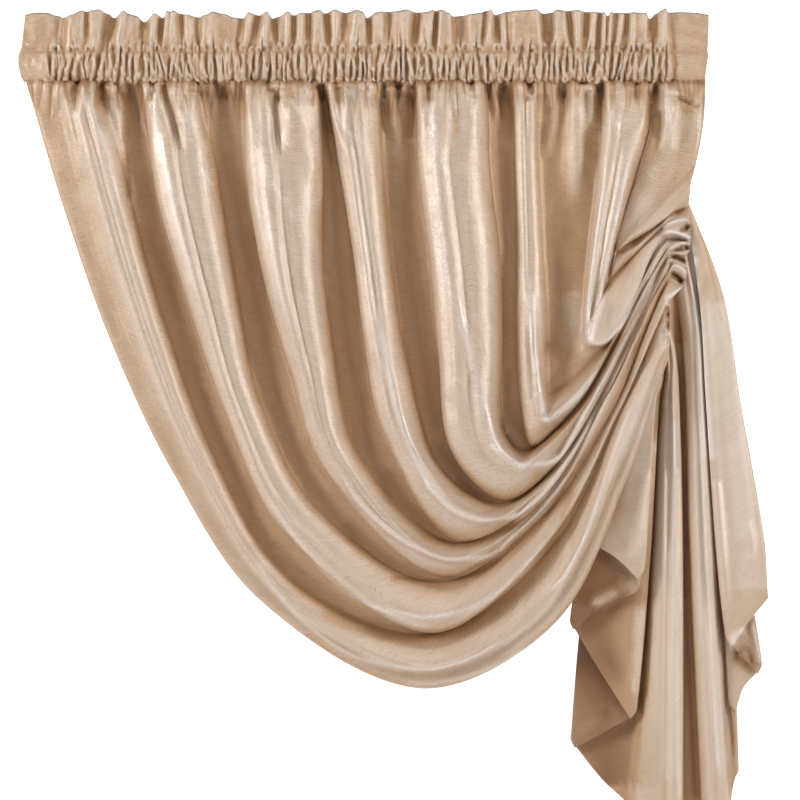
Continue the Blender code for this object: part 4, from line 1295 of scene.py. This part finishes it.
def silk(name, colours, satin, slub_share, hem_width=None):
    """Slubbed faux silk: uneven weft threads, a fine weave and a soft sheen, with painted shade in
    its folds and painted highlights along its crests.
    """
    material = bpy.data.materials.get(name)
    if material:
        return material
    material = bpy.data.materials.new(name)
    material.use_nodes = True
    shader = material.node_tree.nodes["Principled BSDF"]
    base = Shade(material.node_tree)
    weft, warp = cloth_map(base, "grain")
    bent = warp + noise(weft, warp, BEND) * BENT_BY
    parts = {}
    for part, look in NOISES.items():
        parts[part] = noise(weft, bent if part in BENT else warp, look)
    parts["slubs"] = ((parts["slubs"] - SLUBS_FROM) * SLUBS_SHARP).clipped()
    parts["pucker"], slit = puckers(base)
    # Painted shade of the folds, below zero a painted highlight; the puckers' slits add their
    # painted shade
    hollow = base.node("ShaderNodeAttribute", "Fac", {"attribute_name": "hollow"})
    hollow = parts["hollow"] = hollow + slit * SLIT_PAINTED_SHADE
    if hem_width:
        parts.update(hem_parts(base, hem_width))
    weave = weighed(parts, WEAVE) * slub_share
    # Painted highlight along the crests, where the painted shade is below zero, a little streaked
    painted_highlight = parts["streaks"] * CREST_STREAKS - hollow
    for thread in BENT:
        parts[thread] = parts[thread] * slub_share

    # Painted light and shade: with the painted shade the colour goes darker to the folded colour
    # and then to the darkest crease colour, and paler to the crest colour as a painted highlight
    crest, open_cloth, folded, deepest_shade = colours
    cloth = (OPEN_TONE + weighed(parts, TONE)).clipped().blend(folded, open_cloth)
    pale = painted_highlight.clipped().blend(cloth, crest)
    shaded_colour = (hollow - 1.0).clipped().blend(pale, deepest_shade)
    woven = base.node("ShaderNodeHueSaturation", "Color", Color=shaded_colour, Value=1.0 + weave)
    base.set(shader.inputs["Base Color"], woven)
    rough = satin - OPEN_PAINTED_SHADE * ROUGHNESS["hollow"] + weighed(parts, ROUGHNESS)
    base.set(shader.inputs["Roughness"], rough.clipped())
    bump = base.node(
        "ShaderNodeBump", "Normal",
        Strength=RELIEF_STRENGTH, Distance=MM, Height=weighed(parts, RELIEF),
    )
    base.set(shader.inputs["Normal"], bump)
    for socket, value in SHEEN.items():
        shader.inputs[socket].default_value = value
    return material


def pale_backdrop(wall, floor):
    """White behind the hanging, and darker on the floor, so that little light comes from below."""
    material = bpy.data.materials.new("backdrop_white")
    material.use_nodes = True
    shader = material.node_tree.nodes["Principled BSDF"]
    base = Shade(material.node_tree)
    position = base.node("ShaderNodeNewGeometry", "Position")
    depth = base.node("ShaderNodeSeparateXYZ", "X", Vector=position).part("Y")
    glow = ((depth - WALL_FROM) / WALL_FADE).clipped().blend(tuple(floor), tuple(wall))
    shader.inputs["Base Color"].default_value = BACKDROP_WHITE
    shader.inputs["Roughness"].default_value = BACKDROP_ROUGHNESS
    base.set(shader.inputs["Emission Color"], glow)
    shader.inputs["Emission Strength"].default_value = 1.0
    return material


# Making the pieces


def make_sheet(name, points, thickness, materials, hem, fold, shade_lines=(), crests=()):
    """One sheet of cloth through a grid of points, with its grain in metres as a UV map."""
    rows, columns = points.shape[:2]
    index = np.arange(rows * columns).reshape(rows, columns)
    corners = (index[:-1, :-1], index[1:, :-1], index[1:, 1:], index[:-1, 1:])
    faces = np.stack(corners, axis=-1).reshape(-1, 4)
    mesh = bpy.data.meshes.new(name)
    mesh.from_pydata(place(points).reshape(-1, 3).tolist(), [], faces.tolist())
    across, along = arc_lengths(points, 1), arc_lengths(points, 0)
    maps = {
        "grain": np.stack((across, along), axis=-1),
        "hem": np.stack((along[-1:] - along if hem else along + NO_HEM, across), axis=-1),
        "place": points[..., :2] * MM,
    }
    for title, places in maps.items():
        layer = mesh.uv_layers.new(name=title)
        at_corners = places.reshape(-1, 2)[faces.reshape(-1)].astype(np.float32)
        layer.data.foreach_set("uv", at_corners.ravel())
    mesh.shade_smooth()
    # Painted shade of the folds as a point attribute: darker in hollows and along shade lines,
    # lighter along crests
    shade = paint_shade(points, hollows(points, *fold), shade_lines, crests).astype(np.float32).ravel()
    mesh.attributes.new("hollow", "FLOAT", "POINT").data.foreach_set("value", shade)
    for material in materials:
        mesh.materials.append(material)
    sheet = bpy.data.objects.new(name, mesh)
    bpy.context.scene.collection.objects.link(sheet)
    thick = sheet.modifiers.new("Cloth", "SOLIDIFY")
    thick.thickness = thickness
    thick.offset = 0.0
    thick.material_offset = 1
    return sheet


def cloth_materials(looks, title="champagne", slub_share=1.0, duller=0.0):
    """The right and the wrong side of the cloth."""
    faces = [tuple(c) for c in (looks.crest, looks.face, looks.face_fold, looks.deepest_shade)]
    wrongs = [tuple(c) for c in (looks.crest, looks.wrong, looks.wrong_shade, looks.deepest_shade)]
    slubs = looks.slubs * slub_share
    face = silk(f"{title}_face", faces, looks.satin + duller, slubs)
    wrong = silk(f"{title}_wrong_side", wrongs, looks.wrong_satin, slubs * WRONG_SLUBS, looks.hem)
    return [face, wrong]


def area_light(name, place_at, target, size, power):
    data = bpy.data.lights.new(name, "AREA")
    data.shape = "RECTANGLE"
    data.size, data.size_y = size
    data.energy = power
    data.color = DAYLIGHT
    light = bpy.data.objects.new(name, data)
    light.location = place_at
    light.rotation_euler = (Vector(target) - Vector(place_at)).to_track_quat("-Z", "Y").to_euler()
    bpy.context.scene.collection.objects.link(light)


# Settings


def length(name, description, default):
    return bpy.props.FloatProperty(
        name=name, description=description, default=default, min=0.0,
        subtype="DISTANCE", unit="LENGTH",
    )


def share(name, description, default, most=1.0):
    return bpy.props.FloatProperty(
        name=name, description=description, default=default, min=0.0, max=most,
    )


def colour(name, description, default):
    return bpy.props.FloatVectorProperty(
        name=name, description=description, default=(*default, 1.0), size=4, min=0.0, max=1.0,
        subtype="COLOR",
    )


def power(name, description, default):
    return bpy.props.FloatProperty(
        name=name, description=description, default=default, min=0.0, unit="POWER",
    )


class CURTAIN_PG_cloth(bpy.types.PropertyGroup):
    thickness: length("Thickness", "Thickness of the cloth", 0.0009)
    hem: length("Tail hem", "Width of the hem turned up along the cascade", 0.038)
    # The crest colour is a painted highlight, and the colours in folds and in the most deeply set
    # creases are painted shade
    crest: colour("Crests", "Colour along the crests of the folds", (0.84, 0.74, 0.655))
    face: colour("Right side", "Colour of the open cloth on its right side", (0.645, 0.482, 0.352))
    face_fold: colour("Right side, folds", "Colour of the right side in folds", (0.49, 0.28, 0.13))
    wrong: colour("Wrong side", "Colour of the open cloth on its wrong side", (0.56, 0.37, 0.235))
    wrong_shade: colour("Wrong side, folds", "Colour of the wrong side in folds", (0.34, 0.18, 0.08))
    deepest_shade: colour("Deepest creases", "Colour in the deepest creases", (0.24, 0.09, 0.016))
    satin: share("Satin", "Roughness of the right side", 0.44)
    wrong_satin: share("Wrong side satin", "Roughness of the wrong side", 0.55)
    slubs: share("Slubs", "How uneven the weft threads are", 1.0, 2.0)


class CURTAIN_PG_shape(bpy.types.PropertyGroup):
    ruche_pitch: length("Ruche pitch", "Usual distance between the pocket's ruches", 0.00975)
    ruche_depth: length("Ruche depth", "How far the pocket's ruches stand out", 0.0048)
    gather_pitch: length("Gather pitch", "Usual distance between the swag's gathers", 0.018)
    gather_depth: length("Gather depth", "How far the swag's gathers stand out", 0.0099)
    fold_share: share("Fold height", "Height of the swag's folds, 1 as in the tables", 1.0, 1.2)
    fold_radius: length("Fold radius", "Radius of the cascade's folded edges", 0.0026)


class CURTAIN_PG_stage(bpy.types.PropertyGroup):
    key: power("Left light", "Power of the softbox on the left", 80.0)
    fill: power("Right light", "Power of the softbox on the right", 68.0)
    top: power("Top light", "Power of the softbox above", 34.0)
    wall: colour("Wall", "Glow of the backdrop behind the curtain", (0.85, 0.85, 0.85))
    floor: colour("Floor", "Glow of the backdrop's floor", (0.22, 0.22, 0.22))


# Operators


class CURTAIN_OT_heading(bpy.types.Operator):
    """Add the frilled heading with its rod pocket"""

    bl_idname = "curtain.add_heading"
    bl_label = "Heading"

    def execute(self, context):
        looks, shape = context.scene.curtain_cloth, context.scene.curtain_shape
        pitch, depth = shape.ruche_pitch / MM, shape.ruche_depth / MM
        knots = ruche_knots(RUCHE_SEED, pitch)
        creases = loops(knots) + petals()
        points = heading_grid(knots, ruche_knots(BACK_RUCHE_SEED, pitch), depth, creases)
        heading = make_sheet(
            "heading_cloth", points, looks.thickness, cloth_materials(looks), False, HEADING_FOLD,
            HEADING_PAINTED_SHADE, creases,
        )
        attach(heading, "root")
        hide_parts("heading")
        return {"FINISHED"}


class CURTAIN_OT_swag(bpy.types.Operator):
    """Add the swag that is gathered under the heading and swept up to the shirred seam"""

    bl_idname = "curtain.add_swag"
    bl_label = "Swag"

    def execute(self, context):
        looks, shape = context.scene.curtain_cloth, context.scene.curtain_shape
        knots = ruche_knots(RUCHE_SEED, shape.ruche_pitch / MM)
        gathers = ruche_knots(GATHER_SEED, shape.gather_pitch / MM, GATHER_LEAN)
        points = swag_grid(
            knots, shape.ruche_depth / MM, gathers, shape.gather_depth / MM, shape.fold_share,
        )
        swag = make_sheet(
            "swag_cloth", points, looks.thickness, cloth_materials(looks), False, SWAG_FOLD,
            SWAG_PAINTED_SHADE, SWAG_CRESTS_AND_HIGHLIGHTS,
        )
        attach(swag, "root")
        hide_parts("swag_panel")
        return {"FINISHED"}


class CURTAIN_OT_cascade(bpy.types.Operator):
    """Add the pleated cascade that hangs from the shirred seam"""

    bl_idname = "curtain.add_cascade"
    bl_label = "Cascade"

    def execute(self, context):
        looks, shape = context.scene.curtain_cloth, context.scene.curtain_shape
        points = tail_grid(shape.fold_radius / MM)
        materials = cloth_materials(looks, "champagne_tail", TAIL_SLUBS, TAIL_DULLER)
        tail = make_sheet(
            "tail_cloth", points, looks.thickness, materials, True, TAIL_FOLD, TAIL_PAINTED_SHADE,
        )
        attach(tail, "root")
        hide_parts("cascade_tail")
        return {"FINISHED"}


class CURTAIN_OT_stage(bpy.types.Operator):
    """Add the pale backdrop, the soft lights and the camera"""

    bl_idname = "curtain.add_stage"
    bl_label = "Stage"

    def execute(self, context):
        scene, stage = context.scene, context.scene.curtain_stage
        verts = [(x, y, z) for y, z in BACKDROP for x in BACKDROP_SIDES]
        faces = [(2 * i, 2 * i + 1, 2 * i + 3, 2 * i + 2) for i in range(len(BACKDROP) - 1)]
        mesh = bpy.data.meshes.new("backdrop")
        mesh.from_pydata(verts, [], faces)
        mesh.shade_smooth()
        mesh.materials.append(pale_backdrop(stage.wall, stage.floor))
        backdrop = bpy.data.objects.new("backdrop", mesh)
        scene.collection.objects.link(backdrop)

        for name, place_at, target, size, setting in SOFTBOXES:
            area_light(name, place_at, target, size, getattr(stage, setting))
        world = bpy.data.worlds.new("studio")
        world.use_nodes = True
        background = world.node_tree.nodes["Background"]
        background.inputs["Color"].default_value = STUDIO_COLOUR
        background.inputs["Strength"].default_value = STUDIO_GLOW
        scene.world = world

        data = bpy.data.cameras.new("camera")
        data.sensor_width = CAMERA_SENSOR
        data.lens = CAMERA_LENS
        data.clip_end = CAMERA_SEES
        camera = bpy.data.objects.new("camera", data)
        camera.location = CAMERA_AT
        camera.rotation_euler = (math.radians(90.0), 0.0, 0.0)
        scene.collection.objects.link(camera)
        scene.camera = camera
        scene.view_settings.view_transform = "Standard"
        return {"FINISHED"}


class CURTAIN_PT_pieces(bpy.types.Panel):
    """The curtain's pieces and their settings"""

    bl_idname = "CURTAIN_PT_pieces"
    bl_label = "Swag curtain"
    bl_space_type = "VIEW_3D"
    bl_region_type = "UI"
    bl_category = "Curtain"

    def draw(self, context):
        for operator in OPERATORS:
            self.layout.operator(operator.bl_idname)
        for group in SETTINGS:
            settings = getattr(context.scene, group)
            box = self.layout.box()
            for name in settings.__annotations__:
                box.prop(settings, name)


OPERATORS = (CURTAIN_OT_heading, CURTAIN_OT_swag, CURTAIN_OT_cascade, CURTAIN_OT_stage)
SETTINGS = {
    "curtain_cloth": CURTAIN_PG_cloth,
    "curtain_shape": CURTAIN_PG_shape,
    "curtain_stage": CURTAIN_PG_stage,
}


def register():
    for cls in (*SETTINGS.values(), *OPERATORS, CURTAIN_PT_pieces):
        bpy.utils.register_class(cls)
    for name, group in SETTINGS.items():
        setattr(bpy.types.Scene, name, bpy.props.PointerProperty(type=group))


def unregister():
    for name in SETTINGS:
        delattr(bpy.types.Scene, name)
    for cls in (CURTAIN_PT_pieces, *reversed(OPERATORS), *reversed(SETTINGS.values())):
        bpy.utils.unregister_class(cls)


def main():
    register()
    bpy.ops.curtain.add_heading()
    bpy.ops.curtain.add_swag()
    bpy.ops.curtain.add_cascade()
    bpy.ops.curtain.add_stage()


if __name__ == "__main__":
    main()
